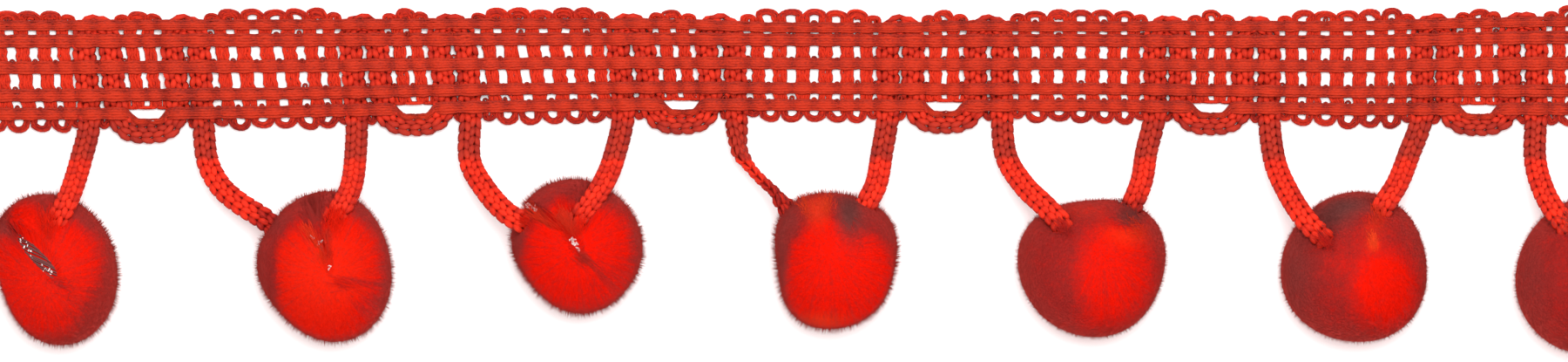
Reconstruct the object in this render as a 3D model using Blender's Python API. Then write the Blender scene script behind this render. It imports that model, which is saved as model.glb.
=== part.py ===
"""Pompom trim, a cut length laid flat: an openwork chain heading, one knitted carrier cord laced through
it, and seven cut pompoms in the cord's deep loops. Metres, with X along the trim, Y towards its plain
edge and Z up. The origin is on the surface, under the middle of the heading."""

import math
import random

import bmesh
import bpy
import numpy as np
from mathutils import Vector

MM = 0.001
TINY = 0.01 * MM
GAP = 0.35 * MM  # between pieces that touch in the real trim

# Heading: columns across it, rows along it
# From one pompom to the next: a cord up, a cord down, two short bars, a cord up, a cord down, six bars
COLUMN_WIDTHS = [3.44, 3.80, 2.62, 2.50, 3.88, 3.78, 2.84, 3.40, 3.22, 3.30, 2.94, 2.66]  # millimetres
REPEAT = len(COLUMN_WIDTHS)
REPEAT_LENGTH = sum(COLUMN_WIDTHS) * MM
CORD_COLUMNS = (0, 1, 4, 5)  # of each repeat: where the cord runs up or down
SLOT_COLUMNS = (2, 3)  # of each repeat: bars that stop short above the cord's short loop
FIRST_COLUMN, LAST_COLUMN = -7, 72
COLUMNS_START = -105.3 * MM  # the left edge of column 0
ROW_COLUMNS = ("middle", "width")  # of each chain row, in millimetres, from the plain edge down
ROWS = [(6.3, 1.4), (4.0, 2.0), (0.2, 1.95), (-3.8, 1.85), (-6.45, 2.0)]
BAR_SHARE = 0.62  # of its column's width
SHEET_THICK = 1.4 * MM
SELVAGE_WIDTH = 1.2 * MM  # the plain bar that finishes each cut end
SELVAGE_GAP = 0.4 * MM  # between it and the cord's tunnel
PICOT_REACH = 1.55 * MM  # out from the edge rows
PICOT_FLARE = 0.6 * MM  # each side, so that a picot is wider than the gap it springs from
SLOT_TOP = -5.5 * MM  # where the two bars above the short loop end
GATHER = 0.115  # how much closer the rows below the second one lie in the middle stretch
GATHER_MIDDLE, GATHER_REACH = 15 * MM, 78 * MM
GATHER_FROM, GATHER_TO = 4.0 * MM, -6.3 * MM  # the rows between which it acts
# How far the rows lie above even, as (x, rise) in millimetres, because the heading isn't quite straight
RISES = [(-110, -0.1), (-76, 0.05), (-38, 0.17), (-19, 0.17), (20, -0.1), (39, 0.0), (58, -0.2), (78, -0.2),
         (97, 0.3), (107, 0.45)]
LEAN = 0.11  # how far the bars slope towards the right end, by their length, in the left half
LEAN_FROM, LEAN_TO = 2 * MM, -22 * MM  # where the lean begins and is full

# Carrier cord: a knitted tube that lies flattened
CORD_WIDTH = 3.0 * MM
CORD_THICK = 1.6 * MM
CORD_SQUEEZE = 0.92  # inside the heading
CORD_LOW = 0.3 * MM  # its underside over the surface, inside the heading
TUNNEL_ROOF = CORD_LOW + CORD_THICK + GAP  # underside of a row where it crosses the cord
TUNNEL_THICK = 0.65 * MM
HALF_TUNNEL = CORD_WIDTH * CORD_SQUEEZE / 2 + GAP
TURN_TOP = 6.2 * MM  # how high the cord's centre comes in a turn at the plain edge
CORD_TOP = 6.3 * MM  # where its two cut ends lie, under the highest row
COLUMN_EXIT = -7.3 * MM  # where the cord leaves the heading's lower edge
EXIT_LEAN = 0.45  # of the bars' lean there, because the legs pull it straight
LOOP_START = -5.0 * MM  # where the cord begins to bend into a short loop
LOOP_SHAPE = [(0.05, 0.52), (0.2, 0.9), (0.5, 1.0), (0.8, 0.9), (0.95, 0.52)]  # shares of span and of depth
OUT_OF_HEADING = 0.6  # share of the depth past which it has left the heading
LOOP_SQUEEZE = 0.88  # of its size there, because the short bend draws it thin
LOOP_LOWEST = [-9.2, -8.1, -7.9, -7.8, -8.0, -8.1]  # the cord's middle in each short loop, in millimetres
EDGEWISE_LEG = 3  # this pompom's left leg is twisted on edge
EDGEWISE_TWIST = (60, 90, 85, 50, 20)  # degrees, from its first point on, into the pompom
POMPOM_BEND = (0.22, 0.5, 0.78)  # shares of the cord's bend inside a pompom that have a point
CORD_SIDES, CHANNEL_SIDES, TIE_SIDES = 8, 6, 6

# Pompoms: cut yarn locks on a core
LOCK_COLUMNS, LOCK_RINGS = 7, 6  # 42 locks each
CORE_SHARE = 0.60  # of the pompom's size
POMPOM_HALF_HEIGHT = 9.6 * MM
POMPOM_MIDDLE = 8.7 * MM  # over the surface, so that the lowest locks are shorter
LOCK_PARTING = 0.028  # of the size, each side of a parting at the core
LOCK_UNEVEN = 0.07  # of the size, by which locks differ in length
LOCK_STRAY = 0.08  # radians, by which they stray from even places
PLACES = 4  # decimals of the size that tell two points of a pompom apart
CROWNED_ABOVE = -0.5  # of the size: the ends of locks lower than this are level with the surface

# Where each pompom lies, and how far it reaches towards eight sides, in millimetres
POMPOM_COLUMNS = ("x", "y", "east", "north_east", "north", "north_west", "west", "south_west", "south",
                  "south_east", "turn")
POMPOMS = [
    (-107.8, -29.0, 8.6, 9.3, 11.0, 10.9, 8.5, 9.0, 10.9, 10.2, 12),
    (-69.0, -28.4, 9.5, 10.0, 10.9, 10.1, 10.0, 9.7, 11.0, 10.9, 30),
    (-33.4, -25.6, 9.9, 9.6, 9.8, 9.6, 9.3, 8.9, 9.7, 9.7, 5),
    (4.1, -27.8, 8.8, 10.2, 10.0, 10.6, 8.7, 9.9, 9.7, 9.0, 41),
    (40.6, -28.8, 10.6, 11.5, 10.0, 10.9, 10.6, 9.9, 9.9, 10.4, 22),
    (78.2, -28.4, 10.5, 10.8, 10.8, 10.3, 10.6, 10.9, 10.9, 11.3, 0),
    (112.0, -29.6, 10.4, 10.8, 11.3, 10.7, 10.4, 10.6, 11.4, 10.8, 35),
]

# The cord from the heading down into each pompom, and back up, as x, y, z in millimetres
LEFT_LEGS = [
    [(-125.3, -13.0, 4.0), (-123.2, -18.0, 7.2), (-120.0, -22.4, 9.6), (-116.6, -25.2, 10.4)],
    [(-86.1, -13.2, 3.6), (-84.2, -16.8, 5.8), (-81.5, -19.2, 7.6), (-77.3, -21.9, 9.0)],
    [(-48.4, -13.2, 4.4), (-46.0, -17.5, 8.0), (-42.9, -20.8, 11.0), (-40.2, -22.3, 12.0)],
    [(-9.8, -11.8, 3.4), (-7.6, -15.0, 5.6), (-4.6, -17.9, 8.0), (-3.2, -19.8, 9.0)],
    [(28.5, -12.5, 4.0), (31.0, -16.8, 8.2), (34.2, -20.0, 12.0), (36.4, -22.6, 13.4)],
    [(67.0, -13.2, 5.0), (68.6, -17.5, 9.2), (71.1, -21.7, 13.6), (73.8, -24.6, 14.2)],
    [(104.4, -13.2, 4.8), (105.6, -18.2, 9.4), (108.0, -22.3, 13.0), (110.0, -25.2, 13.2)],
]
RIGHT_LEGS = [
    [(-108.0, -24.0, 12.8), (-107.2, -22.0, 13.6), (-106.2, -20.0, 12.8), (-105.2, -17.2, 9.8),
     (-104.2, -13.0, 5.0)],
    [(-68.0, -23.0, 12.4), (-67.6, -21.4, 13.6), (-66.4, -19.6, 13.0), (-65.3, -16.9, 9.8),
     (-64.9, -13.0, 5.0)],
    [(-32.8, -21.8, 13.8), (-31.0, -19.4, 12.6), (-29.4, -16.8, 10.0), (-27.9, -13.2, 5.8)],
    [(8.2, -20.0, 10.4), (9.8, -16.6, 7.8), (10.6, -12.4, 4.2)],
    [(46.2, -20.0, 10.2), (47.8, -16.2, 7.6), (48.6, -12.0, 4.0)],
    [(82.0, -20.2, 12.6), (84.4, -16.5, 9.0), (86.2, -12.5, 4.6)],
    [(118.0, -21.2, 12.4), (122.4, -17.4, 9.0), (124.8, -12.8, 4.6)],
]

# Clefts where the first pompoms part over their binding thread. Angles in degrees: "heading_to" is the
# way the cleft runs from the middle, in plan; "from_up" and "to_up" are its ends, over the horizon.
CLEFT_COLUMNS = ("pompom", "heading_to", "from_up", "to_up", "width", "tie_from", "tie_to")
CLEFTS = [
    (0, 138, 20, 104, 3.0, 28, 98),
    (1, 102, 34, 98, 2.2, 68, 92),
    (2, 146, 30, 104, 2.2, 66, 98),
]
BLADE_STEPS = 6
BLADE_INNER, BLADE_OUTER = CORE_SHARE - 0.02, 1.3  # of the pompom's size
BLADE_TAPER = 0.7  # of its width, at the core
TIE_WIDTH, TIE_THICK = 1.3 * MM, 0.7 * MM
TIE_STEPS = 6


def clear_scene():
    for thing in list(bpy.data.objects):
        bpy.data.objects.remove(thing, do_unlink=True)


def collection(name):
    found = bpy.data.collections.new(name)
    bpy.context.scene.collection.children.link(found)
    return found


def material(name, colour, roughness):
    made = bpy.data.materials.new(name)
    made.use_nodes = True
    shader = made.node_tree.nodes["Principled BSDF"]
    shader.inputs["Base Color"].default_value = (*colour, 1.0)
    shader.inputs["Roughness"].default_value = roughness
    shader.inputs["Metallic"].default_value = 0.0
    return made


def add_object(name, mesh, finish, into):
    thing = bpy.data.objects.new(name, mesh)
    mesh.materials.append(finish)
    into.objects.link(thing)
    return thing


def mesh_from(bm, name):
    bmesh.ops.recalc_face_normals(bm, faces=bm.faces)
    mesh = bpy.data.meshes.new(name)
    bm.to_mesh(mesh)
    bm.free()
    return mesh


def column_width(column):
    return COLUMN_WIDTHS[column % REPEAT] * MM


def column_x(column):
    """The middle of a column, on the heading's middle line."""
    before = sum(COLUMN_WIDTHS[: column % REPEAT]) * MM
    return COLUMNS_START + column // REPEAT * REPEAT_LENGTH + before + column_width(column) / 2


def warped(x, y):
    """Where a point of the even heading lies: its bars lean in the left half, its lower rows are gathered
    in the middle stretch, and all its rows rise and fall a little."""
    share = min(max((x - LEAN_FROM) / (LEAN_TO - LEAN_FROM), 0.0), 1.0)
    smooth = share * share * (3 - 2 * share)
    gather = GATHER * math.exp(-(((x - GATHER_MIDDLE) / GATHER_REACH) ** 4))
    gathered = gather * (GATHER_FROM - min(max(y, GATHER_TO), GATHER_FROM))
    rise = float(np.interp(x / MM, *zip(*RISES))) * MM
    return x - LEAN * smooth * y, y + gathered + rise


# The heading: a grid with one line at each edge of a bar and of a row, its openings deleted, extruded up


def heading_lines():
    """The grid's lines across the trim: (x, kind of the strip to the right, its column, lifted)."""
    lines = []
    for column in range(FIRST_COLUMN, LAST_COLUMN + 1):
        x, place = column_x(column), column % REPEAT
        if place not in CORD_COLUMNS:
            half_bar = column_width(column) * BAR_SHARE / 2
            lines.append((x - half_bar, "bar", column, False))
            lines.append((x + half_bar, "gap", column, False))
            continue
        opens_pair = column - 1 < FIRST_COLUMN or (column - 1) % REPEAT not in CORD_COLUMNS
        closes_pair = column + 1 > LAST_COLUMN or (column + 1) % REPEAT not in CORD_COLUMNS
        if opens_pair:
            lines.append((x - HALF_TUNNEL, "tunnel", column, True))
        if closes_pair:
            lines.append((x + HALF_TUNNEL, "gap", column, True))
    return lines


def finished_lines():
    """heading_lines with a plain selvage bar outside the last cord column at each cut end."""
    left = column_x(FIRST_COLUMN) - HALF_TUNNEL - SELVAGE_GAP
    right = column_x(LAST_COLUMN) + HALF_TUNNEL + SELVAGE_GAP
    return (
        [(left - SELVAGE_WIDTH, "bar", FIRST_COLUMN - 1, False), (left, "gap", FIRST_COLUMN - 1, False)]
        + heading_lines()
        + [(right, "bar", LAST_COLUMN + 1, False), (right + SELVAGE_WIDTH, "end", LAST_COLUMN + 1, False)]
    )


def row_edges(number):
    """The upper and lower edge of a chain row."""
    middle, width = ROWS[number]
    return (middle + width / 2) * MM, (middle - width / 2) * MM


def heading_rows():
    """The grid's lines along the trim, top to bottom: (y, name of the strip below)."""
    rows = [(row_edges(0)[0] + PICOT_REACH, "top_picot")]
    for number in range(len(ROWS)):
        upper, lower = row_edges(number)
        below = "hole" if number < len(ROWS) - 1 else "bottom_picot"
        rows += [(upper, f"row_{number}"), (lower, below)]
    rows.append((row_edges(-1)[1] - PICOT_REACH, "end"))
    return rows


def strip_is_cloth(kind, column, band, beside_cord):
    """Whether the grid's cell between two lines is cloth or an opening."""
    place = column % REPEAT
    over_loop = place in SLOT_COLUMNS or (place == 1 and kind == "gap")
    if band in ("bottom_picot", "row_4") and over_loop:
        return False
    if band.startswith("row"):
        return True
    if band == "hole":
        return kind == "bar"
    return kind == "gap" and not beside_cord


def build_heading(finish, into):
    lines, rows = finished_lines(), heading_rows()
    bm = bmesh.new()
    bmesh.ops.create_grid(bm, x_segments=len(lines) - 1, y_segments=len(rows) - 1, size=1.0)
    across = len(lines) - 1
    down = len(rows) - 1
    for vert in bm.verts:
        i = round((vert.co.x + 1) / 2 * across)
        j = down - round((vert.co.y + 1) / 2 * down)
        x, y = lines[i][0], rows[j][0]
        if j in (0, down):  # a picot is wider at its tip than at its root
            x += PICOT_FLARE if lines[i - 1][1] == "gap" else -PICOT_FLARE
        vert.co = (x, y, 0.0)
        vert.tag = lines[i][3]
    openings = []
    for face in bm.faces:
        at = face.calc_center_median()
        i = max(n for n, line in enumerate(lines[:-1]) if line[0] <= at.x)
        j = max(n for n, row in enumerate(rows[:-1]) if row[0] >= at.y)
        beside_cord = lines[i][3] or lines[i + 1][3]
        if not strip_is_cloth(lines[i][1], lines[i][2], rows[j][1], beside_cord):
            openings.append(face)
    bmesh.ops.delete(bm, geom=openings, context="FACES")
    slot_ends = slot_bar_ends(bm)
    for vert in bm.verts:
        vert.co.xy = warped(vert.co.x, vert.co.y)
    for vert in slot_ends:
        vert.co.y = SLOT_TOP
    under = {vert: (TUNNEL_ROOF if vert.tag else 0.0) for vert in bm.verts}
    made = bmesh.ops.extrude_face_region(bm, geom=list(bm.faces))["geom"]
    top = [item for item in made if isinstance(item, bmesh.types.BMVert)]
    for vert in top:
        vert.co.z = TUNNEL_ROOF + TUNNEL_THICK if vert.tag else SHEET_THICK
    for vert, low in under.items():
        vert.co.z = low
    return add_object("heading", mesh_from(bm, "heading"), finish, into)


def slot_bar_ends(bm):
    """The points at the free ends of the two bars over each short loop, before the heading is warped."""
    lowest_row_top = row_edges(-1)[0]
    slots = [column for column in range(FIRST_COLUMN, LAST_COLUMN) if column % REPEAT in SLOT_COLUMNS]
    found = []
    for vert in bm.verts:
        on_line = abs(vert.co.y - lowest_row_top) < TINY
        if on_line and any(abs(vert.co.x - column_x(column)) < column_width(column) / 2 for column in slots):
            found.append(vert)
    return found


# The carrier cord


def inside_heading(x, y):
    """A point of the cord where it is squeezed between the heading and the surface."""
    return (*warped(x, y), CORD_LOW + CORD_THICK * CORD_SQUEEZE / 2, CORD_SQUEEZE)


def turn_points(column):
    """The cord's turn from one column to the next at the plain edge: half a circle, as four points."""
    left, radius = column_x(column), (column_x(column + 1) - column_x(column)) / 2
    points = []
    for degrees in (180, 120, 60, 0):
        angle = math.radians(degrees)
        x = left + radius * (1 + math.cos(angle))
        points.append(inside_heading(x, TURN_TOP - radius * (1 - math.sin(angle))))
    return points


def column_end(column):
    """Where the cord leaves the heading's lower edge in this column."""
    middle = column_x(column)
    x, *rest = inside_heading(middle, COLUMN_EXIT)
    return (middle + (x - middle) * EXIT_LEAN, *rest)


def short_loop(column, lowest):
    """The cord's short loop below the heading, from this column to the third one after it."""
    start, end = (inside_heading(column_x(at), LOOP_START) for at in (column, column + 3))
    points = [start]
    for along, depth in LOOP_SHAPE:
        x, level = (start[axis] + along * (end[axis] - start[axis]) for axis in (0, 1))
        size = LOOP_SQUEEZE if depth > OUT_OF_HEADING else CORD_SQUEEZE
        points.append((x, level + depth * (lowest * MM - level), CORD_LOW + CORD_THICK / 2, size))
    return points + [end]


def pompom_middle(row):
    return Vector((row["x"] * MM, row["y"] * MM, POMPOM_MIDDLE))


def leg(points):
    return [(x * MM, y * MM, z * MM, 1.0) for x, y, z in points]


def tilts(route):
    """The cord's twist at each point, in radians. It lies flat, but for one leg that stands on edge."""
    found = [0.0] * len(route)
    start = route.index(leg(LEFT_LEGS[EDGEWISE_LEG])[0])
    for step, degrees in enumerate(EDGEWISE_TWIST):
        found[start + step] = math.radians(degrees)
    return found


def through_pompom(number):
    """The cord's bend inside a pompom: three points of a parabola whose vertex is at its middle."""
    lowest = pompom_middle(POMPOM_ROWS[number])
    enter, leave = Vector(leg(LEFT_LEGS[number])[-1][:3]), Vector(leg(RIGHT_LEGS[number])[0][:3])
    pull = lowest * 2 - (enter + leave) / 2
    points = []
    for t in POMPOM_BEND:
        points.append((1 - t) ** 2 * enter + 2 * t * (1 - t) * pull + t**2 * leave)
    return [(*point, 1.0) for point in points]


def cord_route():
    """The whole cord as (x, y, z, size) points, from its cut end in the heading to the other."""
    route = [inside_heading(column_x(FIRST_COLUMN), CORD_TOP), column_end(FIRST_COLUMN)]
    for number in range(len(POMPOMS)):
        route += leg(LEFT_LEGS[number]) + through_pompom(number) + leg(RIGHT_LEGS[number])
        up = number * REPEAT
        route.append(column_end(up))
        if number < len(POMPOMS) - 1:
            route += turn_points(up) + short_loop(up + 1, LOOP_LOWEST[number]) + turn_points(up + 4)
            route.append(column_end(up + 5))
    return route + [inside_heading(column_x(LAST_COLUMN), CORD_TOP)]


def oval(name, half_width, half_thick, sides, into):
    """A closed flat curve with flat sides that touch an ellipse, for the section of a cord."""
    curve = bpy.data.curves.new(name, "CURVE")
    curve.dimensions = "2D"
    spline = curve.splines.new("POLY")
    spline.points.add(sides - 1)
    corner = 1 / math.cos(math.pi / sides)
    for number, point in enumerate(spline.points):
        angle = 2 * math.pi * (number + 0.5) / sides
        point.co = (half_width * corner * math.cos(angle), half_thick * corner * math.sin(angle), 0, 1)
    spline.use_cyclic_u = True
    thing = bpy.data.objects.new(name, curve)
    thing.hide_render = True
    thing.display_type = "WIRE"
    into.objects.link(thing)
    return thing


def tube(name, route, section, into, twist=None):
    """A mesh tube of this section along the route, with both ends closed."""
    curve = bpy.data.curves.new(name, "CURVE")
    curve.dimensions = "3D"
    curve.twist_mode = "Z_UP"
    curve.bevel_mode = "OBJECT"
    curve.bevel_object = section
    curve.use_fill_caps = True
    spline = curve.splines.new("POLY")
    spline.points.add(len(route) - 1)
    for point, (x, y, z, size), tilt in zip(spline.points, route, twist or [0.0] * len(route)):
        point.co = (x, y, z, 1)
        point.radius = size
        point.tilt = tilt
    guide = bpy.data.objects.new(f"{name}_guide", curve)
    into.objects.link(guide)
    found = bpy.context.evaluated_depsgraph_get()
    mesh = bpy.data.meshes.new_from_object(guide.evaluated_get(found))
    bpy.data.objects.remove(guide, do_unlink=True)
    bm = bmesh.new()
    bm.from_mesh(mesh)
    bmesh.ops.remove_doubles(bm, verts=bm.verts, dist=TINY)
    bpy.data.meshes.remove(mesh)
    return mesh_from(bm, name)


# The pompoms


def reach(row, angle):
    """How far a pompom reaches in plan at this angle: a smooth curve through its eight sides."""
    sides = [row[name] for name in POMPOM_COLUMNS[2:10]]
    total = 0.0
    for side, size in enumerate(sides):
        off = angle - side * math.pi / 4
        total += size * (1 + 2 * math.cos(off) + 2 * math.cos(2 * off) + 2 * math.cos(3 * off)
                         + math.cos(4 * off)) / 8
    return total * MM


def on_pompom(row, way, share):
    """The point at this share of the way from a pompom's middle to its outline, along a unit vector."""
    angle = math.atan2(way.y, way.x)
    size = reach(row, angle) * math.hypot(way.x, way.y)
    out = Vector((size * math.cos(angle), size * math.sin(angle), POMPOM_HALF_HEIGHT * way.z))
    at = pompom_middle(row) + out * share
    at.z = max(at.z, 0.0)
    return at


def in_place_order(things, where):
    """The same order in every run, because Blender's tools may return points and faces in any order."""
    return sorted(things, key=lambda thing: tuple(round(value, PLACES) for value in where(thing)))


def pompom_mesh(name, row, chance):
    """A core with 42 yarn locks: each face of a coarse ball is parted from its neighbours and drawn out."""
    bm = bmesh.new()
    bmesh.ops.create_uvsphere(bm, u_segments=LOCK_COLUMNS, v_segments=LOCK_RINGS, radius=CORE_SHARE)
    turn = math.radians(row["turn"])
    for vert in in_place_order(bm.verts, lambda vert: vert.co):
        flat, angle = math.hypot(vert.co.x, vert.co.y), math.atan2(vert.co.y, vert.co.x) + turn
        angle += chance.uniform(-LOCK_STRAY, LOCK_STRAY)
        vert.co.x, vert.co.y = flat * math.cos(angle), flat * math.sin(angle)
    roots = list(bm.faces)
    bmesh.ops.inset_individual(bm, faces=roots, thickness=LOCK_PARTING, use_even_offset=True)
    ends = bmesh.ops.extrude_discrete_faces(bm, faces=roots)["faces"]
    for end in in_place_order(ends, lambda end: end.calc_center_median()):
        length = 1.0 - chance.uniform(0, LOCK_UNEVEN)
        for vert in end.verts:
            vert.co = vert.co.normalized() * length
    crowned = [end for end in ends if end.calc_center_median().z > CROWNED_ABOVE]
    crowns = bmesh.ops.poke(bm, faces=crowned)["verts"]
    for vert in crowns:
        vert.co = vert.co.normalized()
    for vert in bm.verts:
        vert.co = on_pompom(row, vert.co.normalized(), vert.co.length)
    return mesh_from(bm, name)


def arc_way(cleft, degrees):
    """The unit vector at this angle over the horizon in the upright plane of a cleft."""
    flat, turn = math.cos(math.radians(degrees)), math.radians(cleft["heading_to"])
    return Vector((flat * math.cos(turn), flat * math.sin(turn), math.sin(math.radians(degrees))))


def cleft_cutter(name, row, cleft, finish, into):
    """A curved blade, wider at its outer edge, that parts the locks down to the core along an arc."""
    bm = bmesh.new()
    bmesh.ops.create_grid(bm, x_segments=BLADE_STEPS, y_segments=1, size=1.0)
    turn = math.radians(cleft["heading_to"])
    sideways = Vector((-math.sin(turn), math.cos(turn), 0))
    span = cleft["to_up"] - cleft["from_up"]
    widths = {}
    for vert in bm.verts:
        way = arc_way(cleft, cleft["from_up"] + span * (vert.co.x + 1) / 2)
        outer = vert.co.y > 0
        vert.co = on_pompom(row, way, BLADE_OUTER if outer else BLADE_INNER)
        widths[vert] = cleft["width"] * MM * (1.0 if outer else BLADE_TAPER)
    made = bmesh.ops.extrude_face_region(bm, geom=list(bm.faces))["geom"]
    far = [item for item in made if isinstance(item, bmesh.types.BMVert)]
    for vert, width in list(widths.items()):
        twin = min(far, key=lambda other: (other.co - vert.co).length)
        vert.co -= sideways * width / 2
        twin.co += sideways * width / 2
        far.remove(twin)
    cutter = add_object(name, mesh_from(bm, name), finish, into)
    cutter.hide_render = True
    cutter.display_type = "WIRE"
    return cutter


def tie_route(row, cleft):
    """The binding thread's way over the core, at the bottom of a cleft."""
    route = []
    for degrees in np.linspace(cleft["tie_from"], cleft["tie_to"], TIE_STEPS):
        way = arc_way(cleft, degrees)
        at = on_pompom(row, way, CORE_SHARE) + way * (GAP + TIE_THICK / 2)
        route.append((*at, 1.0))
    return route


def whole_body(thing):
    """Applies an object's cuts, and leaves out the clippings that they part from it."""
    found = bpy.context.evaluated_depsgraph_get()
    mesh = bpy.data.meshes.new_from_object(thing.evaluated_get(found))
    thing.modifiers.clear()
    bm = bmesh.new()
    bm.from_mesh(mesh)
    left, bodies = set(bm.verts), []
    while left:
        body, edge = set(), [left.pop()]
        while edge:
            vert = edge.pop()
            body.add(vert)
            near = {link.other_vert(vert) for link in vert.link_edges} & left
            left -= near
            edge += near
        bodies.append(body)
    bodies.sort(key=len)
    clippings = [vert for body in bodies[:-1] for vert in body]
    bmesh.ops.delete(bm, geom=clippings, context="VERTS")
    bm.to_mesh(mesh)
    bm.free()
    thing.data = mesh


def cut(thing, cutter):
    modifier = thing.modifiers.new(f"cut_{cutter.name}", "BOOLEAN")
    modifier.operation = "DIFFERENCE"
    modifier.solver = "EXACT"
    modifier.object = cutter


def build_pompom(number, channel_section, yarn, parts, tools):
    row = POMPOM_ROWS[number]
    name = f"pompom_{number + 1}"
    chance = random.Random(number)
    thing = add_object(name, pompom_mesh(name, row, chance), yarn, parts)
    bend = leg(LEFT_LEGS[number]) + through_pompom(number) + leg(RIGHT_LEGS[number])
    twist = tilts(bend) if number == EDGEWISE_LEG else None
    channel_mesh = tube(f"{name}_channel", bend, channel_section, tools, twist)
    channel = add_object(f"channel_{number + 1}", channel_mesh, yarn, tools)
    channel.hide_render = True
    channel.display_type = "WIRE"
    cut(thing, channel)
    for cleft in CLEFT_ROWS:
        if cleft["pompom"] == number:
            cut(thing, cleft_cutter(f"cleft_{number + 1}", row, cleft, yarn, tools))
    whole_body(thing)
    return thing


POMPOM_ROWS = [dict(zip(POMPOM_COLUMNS, row)) for row in POMPOMS]
CLEFT_ROWS = [dict(zip(CLEFT_COLUMNS, row)) for row in CLEFTS]


def main():
    clear_scene()
    parts, tools = collection("pompom_trim"), collection("cutters")
    chain_red = material("chain_red", (0.62, 0.04, 0.012), 0.85)
    knit_red = material("knit_red", (0.70, 0.035, 0.012), 0.8)
    yarn_scarlet = material("yarn_scarlet", (0.85, 0.012, 0.004), 0.9)
    clear_thread = material("clear_thread", (0.32, 0.22, 0.2), 0.25)
    build_heading(chain_red, parts)
    section = oval("cord_section", CORD_WIDTH / 2, CORD_THICK / 2, CORD_SIDES, tools)
    route = cord_route()
    add_object("carrier_cord", tube("carrier_cord", route, section, tools, tilts(route)), knit_red, parts)
    half_width, half_thick = CORD_WIDTH / 2 + GAP, CORD_THICK / 2 + GAP
    channel_section = oval("channel_section", half_width, half_thick, CHANNEL_SIDES, tools)
    for number in range(len(POMPOMS)):
        build_pompom(number, channel_section, yarn_scarlet, parts, tools)
    tie_section = oval("tie_section", TIE_WIDTH / 2, TIE_THICK / 2, TIE_SIDES, tools)
    for cleft in CLEFT_ROWS:
        name = f"tie_{cleft['pompom'] + 1}"
        route = tie_route(POMPOM_ROWS[cleft["pompom"]], cleft)
        add_object(name, tube(name, route, tie_section, tools), clear_thread, parts)


main()
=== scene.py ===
# %% [markdown]
# # A cut length of pompom trim
#
# The trim is three things: a narrow openwork heading, one knitted cord that is laced through it, and cut
# yarn pompoms that hang in the cord's deep loops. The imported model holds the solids. This notebook makes the
# yarn itself: every strand of the heading, every stitch of the cord and every tuft of the pompoms.
#
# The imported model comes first, because each new piece sits where its solid sits. All sizes below are
# millimetres, and one function turns them into Blender's metres.

import itertools
import math

import bpy
import numpy as np
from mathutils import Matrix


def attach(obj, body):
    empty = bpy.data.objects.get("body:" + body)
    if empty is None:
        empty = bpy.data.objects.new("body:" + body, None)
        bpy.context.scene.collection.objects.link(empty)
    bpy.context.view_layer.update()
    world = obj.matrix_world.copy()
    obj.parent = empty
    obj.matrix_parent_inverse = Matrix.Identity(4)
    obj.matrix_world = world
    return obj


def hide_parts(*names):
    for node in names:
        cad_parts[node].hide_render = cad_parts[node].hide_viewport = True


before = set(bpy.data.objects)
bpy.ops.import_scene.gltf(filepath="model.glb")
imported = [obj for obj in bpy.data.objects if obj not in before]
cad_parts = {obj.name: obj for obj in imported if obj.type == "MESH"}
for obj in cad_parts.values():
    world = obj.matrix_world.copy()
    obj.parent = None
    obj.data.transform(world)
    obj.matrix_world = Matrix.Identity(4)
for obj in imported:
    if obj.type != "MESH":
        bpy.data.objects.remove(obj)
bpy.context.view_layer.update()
MM = 0.001


# %% [markdown]
# ## Camera, floor and light
#
# The trim lies flat and is seen from straight above. A long lens far away keeps the tall pompoms from
# leaning outwards, which a short lens close by would do. The light is a big soft disc beside the camera, so
# the round pompoms darken towards their sides and their shadows stay under them, and a pale sky fills in.

# %% Camera
VIEW_MIDDLE = (-3.375, -16.19)  # millimetres
VIEW_WIDTH = 225.0
VIEW_LEVEL = 4.0  # the height at which that width is measured
CAMERA_HEIGHT = 1800.0
SENSOR_WIDTH = 36.0
FARTHEST_SEEN = 20.0  # metres

camera_data = bpy.data.cameras.new("camera")
camera_data.sensor_fit = "HORIZONTAL"
camera_data.sensor_width = SENSOR_WIDTH
camera_data.lens = SENSOR_WIDTH * (CAMERA_HEIGHT - VIEW_LEVEL) / VIEW_WIDTH
camera_data.clip_end = FARTHEST_SEEN
camera = bpy.data.objects.new("camera", camera_data)
camera.location = (VIEW_MIDDLE[0] * MM, VIEW_MIDDLE[1] * MM, CAMERA_HEIGHT * MM)
bpy.context.scene.collection.objects.link(camera)
bpy.context.scene.camera = camera
print("lens:", round(camera_data.lens), "mm")

# %% Light
KEY_POWER, KEY_SIZE = 21.0, 0.7
KEY_PLACE = (0.05, 0.22, 1.5)  # metres
SKY_COLOUR, SKY_STRENGTH = (1.0, 0.99, 0.98, 1.0), 0.9

scene = bpy.context.scene
scene.view_settings.view_transform = "Standard"
key_data = bpy.data.lights.new("key", "AREA")
key_data.shape = "DISK"
key_data.size = KEY_SIZE
key_data.energy = KEY_POWER
key = bpy.data.objects.new("key", key_data)
key.location = KEY_PLACE
key.rotation_euler = (-math.atan2(KEY_PLACE[1], KEY_PLACE[2]), math.atan2(KEY_PLACE[0], KEY_PLACE[2]), 0)
scene.collection.objects.link(key)
world = bpy.data.worlds.new("pale_sky")
world.use_nodes = True
sky = world.node_tree.nodes["Background"]
sky.inputs["Color"].default_value = SKY_COLOUR
sky.inputs["Strength"].default_value = SKY_STRENGTH
scene.world = world
print("light:", KEY_POWER, "W from a disc", KEY_SIZE, "m wide")

# %% [markdown]
# ## Shader maths as plain expressions
#
# A yarn's colour is a sum of small effects. Node trees for that are hard to read, so a small class wraps a
# node's output and lets `0.4 + 0.6 * streaks` add the Math nodes by itself. One function, `add`, makes any
# other node, and a few short ones name the nodes that are needed often.

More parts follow.
